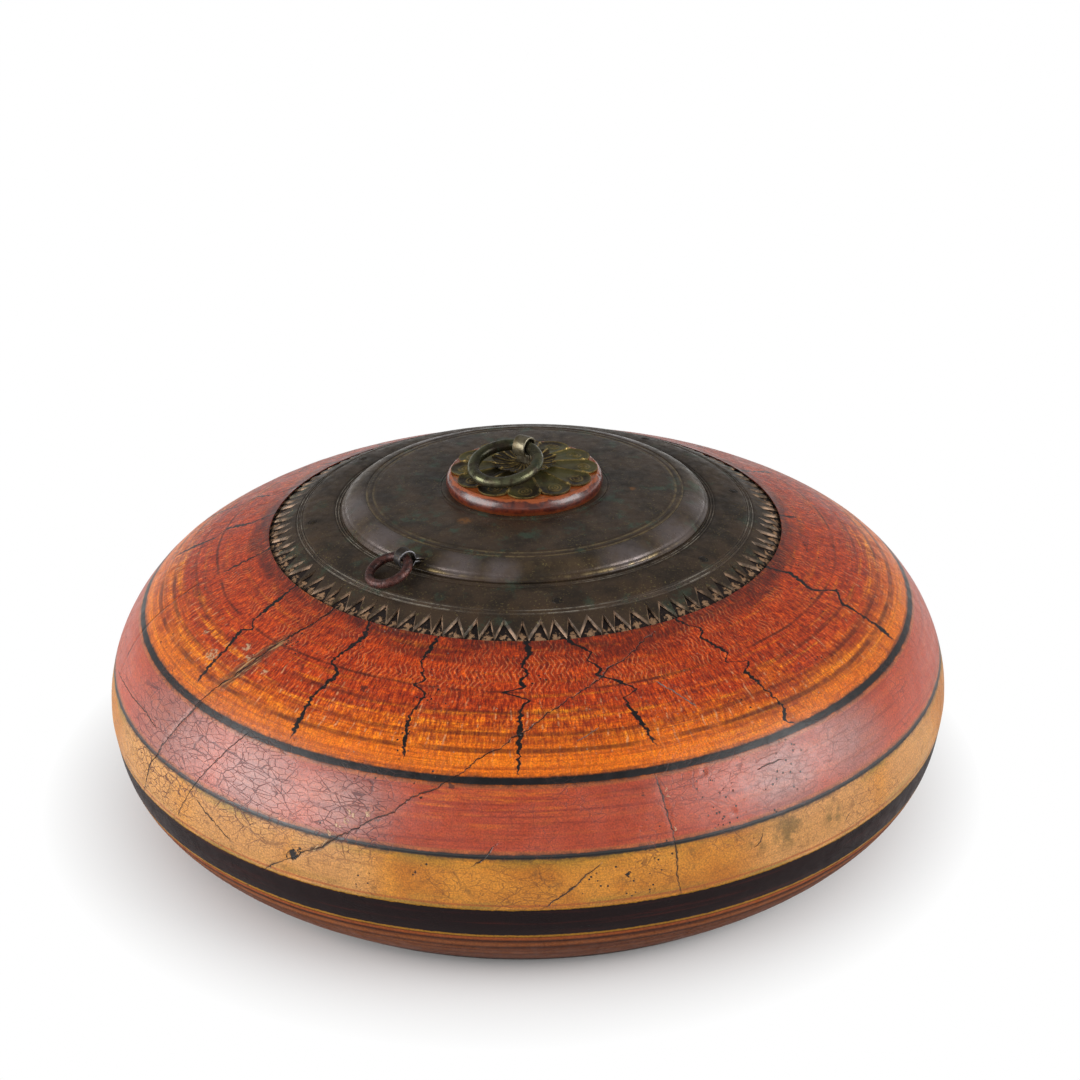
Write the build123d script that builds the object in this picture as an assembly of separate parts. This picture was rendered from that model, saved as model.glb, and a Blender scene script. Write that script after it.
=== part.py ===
from build123d import *
from math import atan2, cos, degrees, hypot, radians, sin, sqrt
import os

# A squat turned wooden box with a bronze collar and a bronze lift-off lid.
# Millimetres, +Z up, origin in the middle of the flat base. The photograph looks along +Y.

# Wooden body: radius and height of each ring that the outer skin runs through
base_edge = (156.8, 0.0)
lower_turn = (174.3, 14.0)
dark_band_foot = (186.2, 31.2)
dark_band_top = (189.4, 45.8)
widest_ring = (190.0, 52.0)
ochre_band_top = (187.3, 68.8)
rose_band_top = (172.9, 94.2)
base_slope = (0.80, 0.60)

# The hollow: the wall's thickness at the floor, belly and shoulder, and where the ceiling passes
wall = 12.0
floor_thickness = 12.0
shoulder_wall = 9.0
lower_wall = 10.8
floor_corner_inset = 24.0
belly_rise = 3.0
ceiling_middle = (120.0, 110.0)

# Bronze collar: a sheet let into the wood around the mouth
sheet = 1.2
seat_height = 136.0
seat_edge = 82.0
engraved_ring = (101.5, 132.1)
tooth_tip = (113.4, 126.7)
tooth_count = 100
tooth_depth = 8.0
tooth_drift = 0.16
tooth_depth_drift = 0.08
tip_wander = 2.4
root_wander = 1.7
depth_wander = 3.1
first_tooth_angle = 1.1
rebate_margin = 1.2
blank_margin = 3.0
mouth_radius = 74.0
lip_depth = 9.0

# Flush nails that hold the collar down, nail_place of the way along its bend
nail_count = 8
nail_place = 0.66
nail_head_radius = 2.15
nail_head_thickness = 0.7
nail_shank_radius = 0.9
nail_length = 10.0
nail_tip_radius = 0.3
nail_proud = 0.15
first_nail_angle = 278.0

# Lid: a thin plate with a rounded shoulder, a locating band under it
lid_gap = 0.3
lid_edge = 81.7
lid_edge_top = 137.2
shoulder_crown = (76.65, 141.7)
shoulder_top = (70.4, 143.4)
lid_flat = (38.0, 145.3)
lid_thickness = 1.5
rim_extra = 0.5
crown_inset = 1.125
crown_top_inset = 0.5
band_gap = 0.4
band_depth = 8.0
band_bite = 1.0

# Turned wooden boss on the lid
boss_radius = 34.8
boss_foot_radius = 34.0
boss_shoulder = (32.9, 152.3)
boss_belly_height = 149.0
boss_peak = 155.2

# Two metal flowers on the boss
petal_count = 12
outer_flower_radius = 32.6
outer_valley_radius = 28.4
flower_sheet = 0.8
inner_flower_radius = 14.7
inner_valley_radius = 12.6
inner_flower_sheet = 0.7
inner_bend_radius = 7.0
inner_tip_lift = 1.9
rib_width = 0.9
rib_height = 0.5
rib_inner_gap = 1.5
rib_outer_gap = 0.5
trim_block = 100.0

# Middle staple and ring
strip = 1.1
strip_width = 6.6
eye_bore = 3.6
eye_height = 163.8
leg_gap = 0.3
leg_overlap = 0.4
clench_length = 12.0
ring_wire = 2.65
ring_circle = 14.35
ring_heading = 234.4
ring_droop = 13.8

# Side staple and ring
side_strip = 1.0
side_strip_width = 5.2
side_bore = 3.4
side_eye = (-50.5, -68.0, 142.2)
side_wire = 2.05
side_circle = 8.75
side_heading = 213.0
side_droop = 22.0
side_leg_droop = 15.0
side_leg_reach = 11.4
side_clench = 0.7
side_clench_half = 1.5

# Slots cut for the staples' legs: the play on each side, and how far in the side one is cut
slot_play = 0.05
side_slot_reach = 20.0

# Derived values: the collar's cone, its rebate in the wood, and the boss's cone
cone_fall = (engraved_ring[1] - tooth_tip[1]) / (tooth_tip[0] - engraved_ring[0])
slope_length = hypot(1, cone_fall)
rebate_radius = tooth_tip[0] + rebate_margin
rebate_edge = (rebate_radius, tooth_tip[1] - cone_fall * rebate_margin)
blank_edge = (tooth_tip[0] + blank_margin, tooth_tip[1] - cone_fall * blank_margin)
cone_rise = (boss_peak - boss_shoulder[1]) / boss_shoulder[0]


def turned(section_face):
    """A ring or disc: a section in the XZ plane swept once round Z."""
    return revolve(section_face, Axis.Z, 360)


def closed_section(*edges):
    """A face in the XZ plane inside a closed run of edges."""
    return make_face(Plane.XZ * Wire(list(edges)))


def polyline_edges(points):
    """Straight edges from point to point."""
    return [Line(a, b) for a, b in zip(points, points[1:])]


def around(count, first_angle=0.0):
    """Angles of equal steps round Z."""
    return [first_angle + 360 * i / count for i in range(count)]


def collar_bend(drop):
    """The curve in section from the flat seat over to the cone, lowered by drop."""
    start = (seat_edge, seat_height - drop)
    end = (engraved_ring[0], engraved_ring[1] - drop)
    return Spline(start, end, tangents=[(1, 0), (1 / slope_length, -cone_fall / slope_length)])


def collar_top(drop):
    """The collar's outer face in section, lowered by drop, from its seat out to the tooth tips."""
    seat = Line((mouth_radius - sheet, seat_height - drop), (seat_edge, seat_height - drop))
    bend = collar_bend(drop)
    cone = Line((engraved_ring[0], engraved_ring[1] - drop), (blank_edge[0], blank_edge[1] - drop))
    return [seat, bend, cone]


def wooden_body():
    """The hollow turned vessel, with the collar's rebate and a round mouth."""
    upright = (0, 1)
    up_the_cone = (-1 / slope_length, cone_fall / slope_length)
    lower_skin = Spline(
        base_edge,
        lower_turn,
        dark_band_foot,
        dark_band_top,
        widest_ring,
        tangents=[base_slope, upright],
    )
    upper_skin = Spline(
        widest_ring,
        ochre_band_top,
        rose_band_top,
        rebate_edge,
        tangents=[upright, up_the_cone],
    )
    rebate_floor = (rebate_edge[0], rebate_edge[1] - sheet)
    cone_end = (engraved_ring[0], engraved_ring[1] - sheet)
    seat_end = (seat_edge, seat_height - sheet)
    mouth_top = (mouth_radius, seat_height - sheet)
    mouth_foot = (mouth_radius, seat_height - lip_depth - wall / 2)
    upper_hollow = (rose_band_top[0] - shoulder_wall, rose_band_top[1] - shoulder_wall)
    middle_hollow = (widest_ring[0] - wall, widest_ring[1] + belly_rise)
    lower_hollow = (lower_turn[0] - wall, lower_turn[1] + lower_wall)
    hollow_floor = (base_edge[0] - floor_corner_inset, floor_thickness)
    ceiling = Spline(mouth_foot, ceiling_middle, upper_hollow, middle_hollow, lower_hollow, hollow_floor)
    outline = closed_section(
        lower_skin,
        upper_skin,
        Line(rebate_edge, rebate_floor),
        Line(rebate_floor, cone_end),
        collar_bend(sheet),
        Line(seat_end, mouth_top),
        Line(mouth_top, mouth_foot),
        ceiling,
        Line(hollow_floor, (0, floor_thickness)),
        Line((0, floor_thickness), (0, 0)),
        Line((0, 0), base_edge),
    )
    return turned(outline)


def toothed_outline():
    """Zigzag round the collar's edge, its teeth a little uneven as hand-cut ones are."""
    points = []
    step = 360 / tooth_count
    for i in range(tooth_count):
        tip_drift = tooth_drift * sin(tip_wander * i)
        root_drift = tooth_drift * sin(root_wander * i)
        tip_angle = radians(first_tooth_angle + step * (i + tip_drift))
        root_angle = radians(first_tooth_angle + step * (i + 0.5 + root_drift))
        root = tooth_tip[0] - tooth_depth * (1 + tooth_depth_drift * sin(depth_wander * i))
        points.append((tooth_tip[0] * cos(tip_angle), tooth_tip[0] * sin(tip_angle)))
        points.append((root * cos(root_angle), root * sin(root_angle)))
    return points


def toothed_collar():
    """The bronze sheet that follows the dome, with a lip turned down into the mouth."""
    top = collar_top(0)
    foot = collar_top(sheet)
    lip_foot = seat_height - lip_depth
    inner = mouth_radius - sheet
    lip_back = [
        Line((mouth_radius, seat_height - sheet), (mouth_radius, lip_foot)),
        Line((mouth_radius, lip_foot), (inner, lip_foot)),
        Line((inner, lip_foot), (inner, seat_height)),
    ]
    under_seat = Line((mouth_radius, seat_height - sheet), (seat_edge, seat_height - sheet))
    edge = Line(blank_edge, (blank_edge[0], blank_edge[1] - sheet))
    ring = turned(closed_section(*top, edge, foot[2], foot[1], under_seat, *lip_back))
    cutter = extrude(make_face(Polyline(*toothed_outline(), close=True)), 2 * seat_height)
    return ring & cutter


def nail():
    """One flush nail, its head level with the collar's outer face and its shank square to it."""
    bend = collar_bend(0)
    place = bend @ nail_place
    slope = bend % nail_place
    lean = degrees(atan2(-slope.Y, slope.X))
    head = Pos(0, 0, -nail_head_thickness / 2) * Cylinder(nail_head_radius, nail_head_thickness)
    shank_height = nail_length - nail_head_thickness
    shank = Cone(nail_tip_radius, nail_shank_radius, shank_height)
    shank = Pos(0, 0, -nail_head_thickness - shank_height / 2) * shank
    return Pos(place.X, 0, place.Y + nail_proud) * Rot(0, lean, 0) * (head + shank)


def collar_nails():
    """All the collar's nails, as separate solids."""
    return [Rot(0, 0, angle) * nail() for angle in around(nail_count, first_nail_angle)]


def lid_plate():
    """The lid: a rounded shoulder rising from its edge, then a very shallow dome to a flat middle."""
    rim_foot = seat_height + lid_gap
    flat_radius, flat_top = lid_flat
    shoulder = ThreePointArc((lid_edge, lid_edge_top), shoulder_crown, shoulder_top)
    dome = TangentArc((flat_radius, flat_top), shoulder_top, tangent=(1, 0))
    under = lid_thickness
    inner_edge = lid_edge - under - rim_extra
    inner_crown = (shoulder_crown[0] - crown_inset, shoulder_crown[1] - under)
    inner_top = (shoulder_top[0] - crown_top_inset, shoulder_top[1] - under)
    outline = closed_section(
        Line((0, flat_top), (flat_radius, flat_top)),
        dome,
        shoulder,
        Line((lid_edge, lid_edge_top), (lid_edge, rim_foot)),
        Line((lid_edge, rim_foot), (inner_edge, rim_foot)),
        ThreePointArc((inner_edge, rim_foot), inner_crown, inner_top),
        Line(inner_top, (flat_radius, flat_top - under)),
        Line((flat_radius, flat_top - under), (0, flat_top - under)),
        Line((0, flat_top - under), (0, flat_top)),
    )
    return turned(outline)


def lid_flange(plate):
    """The thin upright band under the lid that drops into the collar's lip."""
    outer = mouth_radius - sheet - band_gap
    inner = outer - sheet
    foot = seat_height - band_depth
    top = shoulder_top[1] - band_bite
    points = [(inner, foot), (outer, foot), (outer, top), (inner, top), (inner, foot)]
    return turned(closed_section(*polyline_edges(points))) - plate


def handle_boss():
    """The low wooden disc, with a rounded side and a shallow conical top."""
    foot = lid_flat[1]
    outline = closed_section(
        Line((0, foot), (boss_foot_radius, foot)),
        ThreePointArc((boss_foot_radius, foot), (boss_radius, boss_belly_height), boss_shoulder),
        Line(boss_shoulder, (0, boss_peak)),
        Line((0, boss_peak), (0, foot)),
    )
    return turned(outline)


def petal_outline(tip_radius, valley_radius, turn):
    """Closed run of round petal tips between sharp valleys, as one face."""
    step = 360 / petal_count
    edges = []
    for angle in around(petal_count, turn):
        a, b, c = radians(angle - step / 2), radians(angle), radians(angle + step / 2)
        start = (valley_radius * cos(a), valley_radius * sin(a))
        tip = (tip_radius * cos(b), tip_radius * sin(b))
        end = (valley_radius * cos(c), valley_radius * sin(c))
        edges.append(ThreePointArc(start, tip, end))
    return make_face(Wire(edges))


def outer_rosette():
    """Twelve petals of sheet lying on the boss, with a raised rib between each pair."""
    rim_height = boss_peak - cone_rise * outer_flower_radius
    points = [
        (0, boss_peak),
        (outer_flower_radius, rim_height),
        (outer_flower_radius, rim_height + flower_sheet),
        (0, boss_peak + flower_sheet),
        (0, boss_peak),
    ]
    disc = turned(closed_section(*polyline_edges(points)))
    flower = disc & extrude(petal_outline(outer_flower_radius, outer_valley_radius, 0), 2 * boss_peak)
    rib_start = inner_flower_radius + rib_inner_gap
    rib_length = outer_valley_radius - rib_outer_gap - rib_start
    rib_middle = rib_start + rib_length / 2
    lean = degrees(atan2(cone_rise, 1))
    level = boss_peak + flower_sheet - cone_rise * rib_middle
    rib = Pos(rib_middle, 0, level) * Rot(0, lean, 0) * Box(rib_length, rib_width, 2 * rib_height)
    trim_level = boss_peak - cone_rise * rib_middle
    rib = rib - Pos(0, 0, trim_level - trim_block / 2) * Box(2 * trim_block, 2 * trim_block, trim_block)
    for angle in around(petal_count, 180 / petal_count):
        flower = flower + Rot(0, 0, angle) * rib
    return flower


def inner_rosette():
    """The smaller flower, flat in the middle and bent up towards its tips."""
    centre = boss_peak + flower_sheet
    bend = centre - cone_rise * inner_bend_radius
    tip = centre - cone_rise * inner_flower_radius + inner_tip_lift
    top = inner_flower_sheet
    points = [
        (0, centre),
        (inner_bend_radius, bend),
        (inner_flower_radius, tip),
        (inner_flower_radius, tip + top),
        (inner_bend_radius, bend + top),
        (0, centre + top),
        (0, centre),
    ]
    disc = turned(closed_section(*polyline_edges(points)))
    outline = petal_outline(inner_flower_radius, inner_valley_radius, 180 / petal_count)
    return disc & extrude(outline, 2 * boss_peak)


def loop_of_strip(bore, thickness, width, leg_reach, clench, clench_half):
    """A folded strip: an eye round +Y, two legs down -Z, and clenched ends at leg_reach below the eye."""
    outer = bore + thickness
    half_gap = leg_gap / 2
    leg_side = half_gap + thickness
    leg_top = leg_overlap - sqrt(outer ** 2 - leg_side ** 2)
    eye = Circle(outer) - Circle(bore) - Pos(0, -outer / 2) * Rectangle(leg_gap, outer)
    legs = Sketch()
    for side in (-1, 1):
        x = side * (half_gap + thickness / 2)
        leg_length = leg_top + leg_reach + clench
        leg = Pos(x, (leg_top - leg_reach - clench) / 2) * Rectangle(thickness, leg_length)
        end_length = clench_half - half_gap
        end_x = side * (half_gap + end_length / 2)
        end = Pos(end_x, -leg_reach - clench / 2) * Rectangle(end_length, clench)
        legs = legs + leg + end
    return extrude(Plane.XZ * (eye + legs), width / 2, both=True)


def handle_staple():
    """The middle staple, its ends clenched outwards under the lid."""
    reach = eye_height - (lid_flat[1] - lid_thickness)
    loop = loop_of_strip(eye_bore, strip, strip_width, reach, strip, clench_length)
    return Pos(0, 0, eye_height) * Rot(0, 0, ring_heading) * loop


def side_frame():
    """The place and turn that put a loop's legs through the lid's shoulder."""
    return Pos(*side_eye) * Rot(0, 0, side_heading) * Rot(0, 90 - side_leg_droop, 0)


def side_staple():
    """The side staple, its ends hammered over inside the lid's shoulder."""
    loop = loop_of_strip(
        side_bore,
        side_strip,
        side_strip_width,
        side_leg_reach,
        side_clench,
        side_clench_half,
    )
    return side_frame() * loop


def hanging_ring(wire, circle, place, heading, droop):
    """A round ring through an eye at place, lying off towards heading and sloping down by droop."""
    flat_ring = Pos(circle, 0, 0) * Torus(circle, wire)
    return Pos(*place) * Rot(0, 0, heading) * Rot(0, droop, 0) * flat_ring


def leg_slot(thickness, width, reach):
    """A block of the legs' section with a little play, reaching down from the eye."""
    thick = leg_gap + 2 * thickness + 2 * slot_play
    return Pos(0, 0, -reach / 2) * Box(thick, width + 2 * slot_play, reach)


middle_slot = Pos(0, 0, eye_height) * Rot(0, 0, ring_heading) * leg_slot(strip, strip_width, eye_height)
side_slot = side_frame() * leg_slot(side_strip, side_strip_width, side_slot_reach)

nails = collar_nails()
body = wooden_body()
collar = toothed_collar()
for one_nail in nails:
    collar = collar - one_nail

plate = lid_plate()
flange = lid_flange(plate)
plate = plate - middle_slot - side_slot

nodes = {
    "wooden_body": body,
    "toothed_collar": collar,
    "collar_nails": Compound(children=nails),
    "lid_plate": plate,
    "lid_flange": flange,
    "handle_boss": handle_boss() - middle_slot,
    "outer_rosette": outer_rosette() - middle_slot,
    "inner_rosette": inner_rosette() - middle_slot,
    "handle_staple": handle_staple(),
    "handle_ring": hanging_ring(ring_wire, ring_circle, (0, 0, eye_height), ring_heading, ring_droop),
    "side_staple": side_staple(),
    "side_ring": hanging_ring(side_wire, side_circle, side_eye, side_heading, side_droop),
}

os.makedirs("parts", exist_ok=True)
for name, shape in nodes.items():
    export_step(shape, f"parts/{name}.step")
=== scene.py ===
import math

import bpy
import numpy as np
from bpy.props import FloatProperty, FloatVectorProperty, IntProperty, PointerProperty
from mathutils import Matrix, Vector


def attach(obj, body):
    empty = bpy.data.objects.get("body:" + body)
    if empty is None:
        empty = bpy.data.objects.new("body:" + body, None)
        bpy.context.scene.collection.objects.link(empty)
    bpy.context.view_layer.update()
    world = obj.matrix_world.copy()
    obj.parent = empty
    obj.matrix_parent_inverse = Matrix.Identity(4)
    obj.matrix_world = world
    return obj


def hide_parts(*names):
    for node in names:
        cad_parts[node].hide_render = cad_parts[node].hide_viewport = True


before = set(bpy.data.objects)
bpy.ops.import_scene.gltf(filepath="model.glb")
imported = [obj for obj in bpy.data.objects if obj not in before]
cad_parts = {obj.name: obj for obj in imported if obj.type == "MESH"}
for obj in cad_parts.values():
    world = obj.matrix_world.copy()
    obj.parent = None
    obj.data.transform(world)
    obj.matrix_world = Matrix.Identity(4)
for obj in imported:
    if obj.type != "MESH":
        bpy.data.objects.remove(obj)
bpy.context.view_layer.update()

bl_info = {
    "name": "Lacquered tobacco box",
    "version": (1, 0, 0),
    "blender": (4, 5, 0),
    "location": "3D View > Sidebar > Tobacco box",
    "description": "Dresses a turned wooden tobacco box in cracked lac bands and patinated bronze",
    "category": "Object",
}

MM = 0.001
TAU = 2 * math.pi

# Age cracks: unit normal and distance of the plane each lies in, its middle point, how far it
# reaches from there, its half width and how far its lips are worn, all in millimetres
CRACKS = [
    ((-0.486, 0.257, 0.836), 50.5, (-24, -150, 90), 97, 0.1, 1.4),
    ((0.544, -0.685, -0.485), -48.0, (-124, -95, 92), 64, 0.2, 3.8),
    ((-0.342, 0.94, 0.0), 23.3, (-163, -34, 96), 30, 0.16, 1.4),
    ((0.839, 0.545, 0.0), -48.6, (56, -174, 70), 27, 0.12, 1.0),
    ((-0.318, 0.297, -0.899), -52.0, (-129, -138, 58), 15, 0.12, 1.0),
    ((-0.638, -0.058, 0.767), 43.0, (17, -188, 56), 17, 0.14, 1.0),
    ((-0.649, 0.135, 0.749), 37.6, (-17, -187, 69), 9, 0.1, 1.0),
    ((-0.966, 0.259, 0.0), 2.0, (46, 172, 72), 36, 0.2, 1.4),
    ((0.42, -0.6, 0.681), -20.0, (150, 95, 74), 50, 0.16, 1.4),
]

# Shorter cracks and scratches as lines of places, with half width and whether they are pale
STROKES = [
    ([
        (-113.1, -130.2, 94.7), (-126.1, -130.1, 82.7), (-137.3, -127.4, 69), (-147.1, -119.9, 49),
    ], 0.14, 0),
    ([
        (-181.9, -35.9, 74), (-173.6, -60.8, 77.3), (-162.5, -84.3, 79.3), (-156.8, -95.7, 77.9),
    ], 0.16, 0),
    ([(91.8, -153.4, 86.7), (97.3, -149.3, 87.5), (102.9, -145.8, 87.2)], 0.18, 0),
    ([(89.6, -167.1, 58.8), (93.0, -165.0, 60.3), (93.8, -163.6, 64.1)], 0.2, 0),
    ([(129.9, -138.6, 52.7), (132.6, -136.0, 55.8)], 0.25, 0),
    ([(52.0, -129.7, 115.5), (68.4, -138.7, 108.2)], 0.24, 1),
    ([(29.3, -153.2, 107.4), (19.4, -159.5, 104.4)], 0.12, 1),
    ([(-96.0, 118.0, 106.0), (-118.0, 123.0, 92.0), (-131.0, 128.0, 74.0)], 0.16, 0),
]

# Larger worm holes and one broken pit: place and radius in millimetres
HOLES = [
    ((39, -185, 59), 1.0), ((21, -189, 52), 0.9), ((-45, -184, 60), 0.6), ((-39, -185, 61), 0.5),
    ((70, -161, 91), 0.5), ((82, -166, 75), 0.5), ((90.4, -165.9, 62.7), 0.5),
    ((-97.3, -163.5, 55.4), 1.0), ((-94.8, -164.6, 57.2), 2.4), ((-92.3, -165.6, 59.4), 1.4),
]

# Where worm holes crowd together, and what the lid is stained with: places and reach
WORMS = [
    ((-42, -184.6, 60.8), 8), ((-65, -178.5, 54.1), 8), ((-20, -188.5, 56), 5),
    ((74, -164, 84.3), 12), ((78, -167, 76), 11),
]
STAINS = [((-25.7, -37.3, 144.9), 4.5), ((47.6, -5.9, 144.7), 2.5)]

# Where a grey highlight is painted on the lid's shoulder, which is also smoother and more metallic
# there: place and reach
SHEEN_SPOTS = [
    ((-72, -14, 142), 22), ((-60, -45, 142), 20), ((-28, -73, 140), 14), ((-10, -78, 140), 11),
    ((44, -66, 139), 18), ((66, -44, 139), 20), ((78, -16, 139), 18), ((-42, 66, 141), 24),
    ((50, 60, 141), 22),
]

# Where a crack's lips are broken and flaked: place and reach in millimetres
WEAR = [((-109, -107, 110), 25), ((-84, -168, 66), 8)]

# Dark blots and pale chips in the lac: place and radius in millimetres
BLOTS = [
    ((-65.7, -128.7, 113.4), 2.0), ((-30, -171.8, 92.5), 1.5), ((-59.3, -173.5, 78.6), 1.3),
    ((45.5, -172.4, 87.4), 1.2),
]
CHIPS = [
    ((-132.4, -84.5, 106.8), 2.3), ((-116.8, -89.1, 112.2), 1.4), ((-115.5, -95.4, 110.8), 1.3),
    ((-108.2, -106.7, 109.7), 1.1), ((-136.5, -68.8, 109.2), 1.0), ((-78.7, -169.6, 70.4), 1.0),
    ((-75.7, -169.7, 73.5), 0.9), ((-72.4, -169.9, 76.2), 0.8), ((-69.5, -170.0, 78.4), 0.7),
    ((-71.1, -168.5, 79.8), 0.8), ((-63.0, -171.6, 80.3), 0.8), ((55.3, -170.9, 85.4), 0.6),
    ((58.2, -176.2, 73.5), 0.7), ((54.5, -169.5, 87.8), 0.5),
]

# Where the lac is finely crazed, crazed a little, smeared with orange, stained olive and where
# the orange is brightest and the ochre palest: place and reach in millimetres. On the first two
# lists and the last, the paler tone is the side lights' sheen painted into the colour
CRAZING_AND_SHEEN = [
    ((-150, -105, 82), 52), ((-112, -146, 78), 34), ((-70, -168, 80), 28), ((150, 110, 76), 60),
]
LIGHT_CRAZING_AND_SHEEN = [((138, -125, 84), 34), ((104, -150, 80), 26)]
SMEARS = [((-36, -173, 90), 14), ((-14, -176, 89), 18), ((6, -178, 88), 12)]
OLIVE = [((105, -156.5, 61), 13), ((92, -165, 60), 8), ((125, -143, 58), 9)]
GLOW = [((-50, -152, 106), 46), ((0, -160, 106), 50), ((52, -152, 106), 46)]
OCHRE_SHEEN = [
    ((-165, -95, 55), 50), ((-120, -145, 55), 45), ((-80, -170, 55), 30), ((120, -148, 55), 50),
    ((165, -95, 55), 40),
]

# Black veins on the orange zone: degrees round the axis and radius in millimetres, inside out
VEINS = [
    [(2, 113.8), (5, 124.2)],
    [(28.7, 111.3), (33.9, 142.4)],
    [(50, 113), (52, 124), (50.5, 137), (54, 143), (52, 166)],
    [(68, 114), (67, 126), (70, 136), (66, 139), (69, 160)],
    [(86, 113), (88, 130), (86, 138), (89, 143), (88, 170)],
    [(104, 114), (103, 128), (106, 137), (102, 141), (104, 158)],
    [(122, 113), (124, 125), (122, 138), (125, 144), (123, 168)],
    [(140, 114), (139, 130), (142, 138), (138, 142), (140, 163)],
    [(156, 113), (158, 127), (156, 138), (159, 144), (157, 170)],
    [(172, 114), (173, 126), (171, 138), (174, 143), (173, 165)],
    [(191, 114.6), (191.4, 137.8)],
    [(211.1, 114), (212.3, 137), (214.5, 139.6), (212.6, 143), (214, 152.8), (214.5, 168.1)],
    [
        (235.8, 114.8), (236.8, 121.6), (234.3, 136.8), (237.2, 141), (235.6, 153.8),
        (235.9, 170.6),
    ],
    [
        (251.8, 115), (250.6, 127), (252.4, 136), (250.8, 138.6), (253.6, 141.4), (252.2, 152),
        (253, 168.8),
    ],
    [
        (269.9, 113), (270.8, 121), (269.1, 126), (270.4, 130), (268.9, 134), (270, 136.8),
        (266, 138.8), (270.6, 142.5), (269.2, 145), (268.8, 171),
    ],
    [
        (277.3, 113), (282.8, 122), (281.4, 125.5), (283.6, 130), (282.4, 133), (285.4, 136.6),
        (288.2, 142), (285.6, 145), (288.2, 166),
    ],
    [
        (302.9, 116), (306.5, 123), (304.7, 126), (307.2, 137), (305.4, 140.6), (309.8, 144),
        (307.4, 147), (309.3, 166), (308, 169), (309.8, 172),
    ],
    [(334.4, 113.5), (337.6, 124), (336, 134.8), (340.4, 143), (337.4, 147), (338.4, 170.7)],
]

# Lines turned dark into the orange zone: radius, half width and strength
TURNED_LINES = [(138.4, 0.15, 0.75), (148.0, 0.3, 0.5), (157.5, 0.35, 0.6), (163.5, 0.4, 0.7)]

# Lines turned into the foot: distance below the dark band, half width and tone
FOOT_LINES = [
    *((2.0, 0.5, "#9a4c20"), (4.0, 0.3, "#2a0f07")),
    *((6.8, 0.9, "#8a4c22"), (9.6, 0.25, "#32150a")),
]

# Radii of the pairs of lines engraved in the collar and in the lid
COLLAR_LINES = (82.9, 84.2, 99.8, 101.5)
LID_LINES = (70.2, 67.2, 37.6)

# The ring of the lid's shoulder where a grey highlight is painted: radius, half width and softness
SHEEN_RING = (76.5, 3.5, 3.5)

# A nail from the middle of its dished head, past its rim and down its shank to its point
NAIL_SECTION = [
    *((0.4, 0.28), (1.0, 0.2), (1.45, 0.02), (1.65, -0.05), (1.85, 0.14), (2.05, 0.12)),
    *((2.15, -0.05), (2.15, -0.7), (0.9, -0.72), (0.85, -4.0), (0.35, -9.5)),
]

# Finishes of old metal: ground, share of green, tone where it is bright, roughness and how much
# of the ground is bare metal. A tone is one of the colours in the sidebar, or hex
METALS = {
    "bronze_sheet_brown_patina": ("bronze", 0.5, "#958d80", 0.46, 0.25),
    "iron_nail_dark": ("#2e2a28", 0.2, "#6a6258", 0.45, 0.5),
    "bronze_cast_turned_brown_patina": ("bronze", 0.7, "#b39c6e", 0.34, 0.2),
    "bronze_strip_rubbed": ("bronze", 0.3, "#97834f", 0.42, 0.55),
    "brass_embossed_green_patina": ("#605a30", 0.35, "brass", 0.38, 0.5),
    "brass_embossed_rubbed": ("#2e2718", 0.2, "brass", 0.36, 0.5),
    "brass_strip_worn": ("#5c5238", 0.3, "#a8a08a", 0.34, 0.6),
    "iron_strip_forged": ("iron", 0.0, "#9c9ca0", 0.38, 0.8),
    "bronze_ring_green_patina": ("#2a2a1a", 0.45, "#6a6a50", 0.30, 0.5),
}

# Single numbers: lengths are in millimetres
SOOT = "#150c0a"  # the dark of cracks and holes
LATHE_CIRCLE = 160.0  # radius on which the lathe's streaks are drawn
COMB_LINES = 380  # combed lines round the orange zone
HALF_PETAL = TAU / 24
FIRST_TOOTH, FIRST_NAIL = 1.1, 278  # degrees round the axis
MOUTH_HEIGHTS = (132, 138)  # rows of the mouth's upright walls
REBATE = (88.0, 123.0)  # radius and height past which the wood is cut for the collar
MIDDLE_TURN = 234.4  # the way the middle staple faces, in degrees
SIDE_EYE, SIDE_TURN = (-50.5, -68.0, 142.2), 213  # the side staple's eye, and the way it faces


def linear(hex_value):
    """An sRGB hex colour as the linear numbers that a shader takes."""
    parts = [int(hex_value[i : i + 2], 16) / 255 for i in (1, 3, 5)]
    return tuple(c / 12.92 if c <= 0.04045 else ((c + 0.055) / 1.055) ** 2.4 for c in parts)


def length(name, description, mm):
    """A size in a property group, given in millimetres and kept in metres."""
    return FloatProperty(name=name, description=description, default=mm * MM, unit="LENGTH")


def ring_at(name, description, radius, height):
    """A ring of the turned profile in a property group: its radius and height."""
    place = (radius * MM, height * MM)
    return FloatVectorProperty(
        name=name, description=description, default=place, size=2, unit="LENGTH"
    )


def colour(name, description, hex_value):
    """A colour in a property group."""
    start = linear(hex_value)
    return FloatVectorProperty(
        name=name, description=description, default=start, size=3, min=0, max=1, subtype="COLOR"
    )


class BodySizes(bpy.types.PropertyGroup):
    base: ring_at("Base edge", "Edge of the flat base", 156.8, 0)
    lower_turn: ring_at("Lower turn", "Ring low on the skin", 174.3, 14)
    dark_foot: ring_at("Dark band foot", "Lower edge of the dark band", 186.2, 31.2)
    dark_top: ring_at("Dark band top", "Upper edge of the dark band", 189.4, 45.8)
    widest: ring_at("Widest ring", "Where the body is widest", 190, 52)
    ochre_top: ring_at("Ochre band top", "The lower black line", 187.3, 68.8)
    rose_top: ring_at("Rose band top", "The upper black line", 172.9, 94.2)
    lac: length("Lac thickness", "How deep the lac bands go into the wood", 1.2)
    row: length("Grid step", "Distance between the rows of the skin's grid", 1.0)
    columns: IntProperty(name="Columns", description="Columns of the skin's grid", default=1200)


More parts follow.
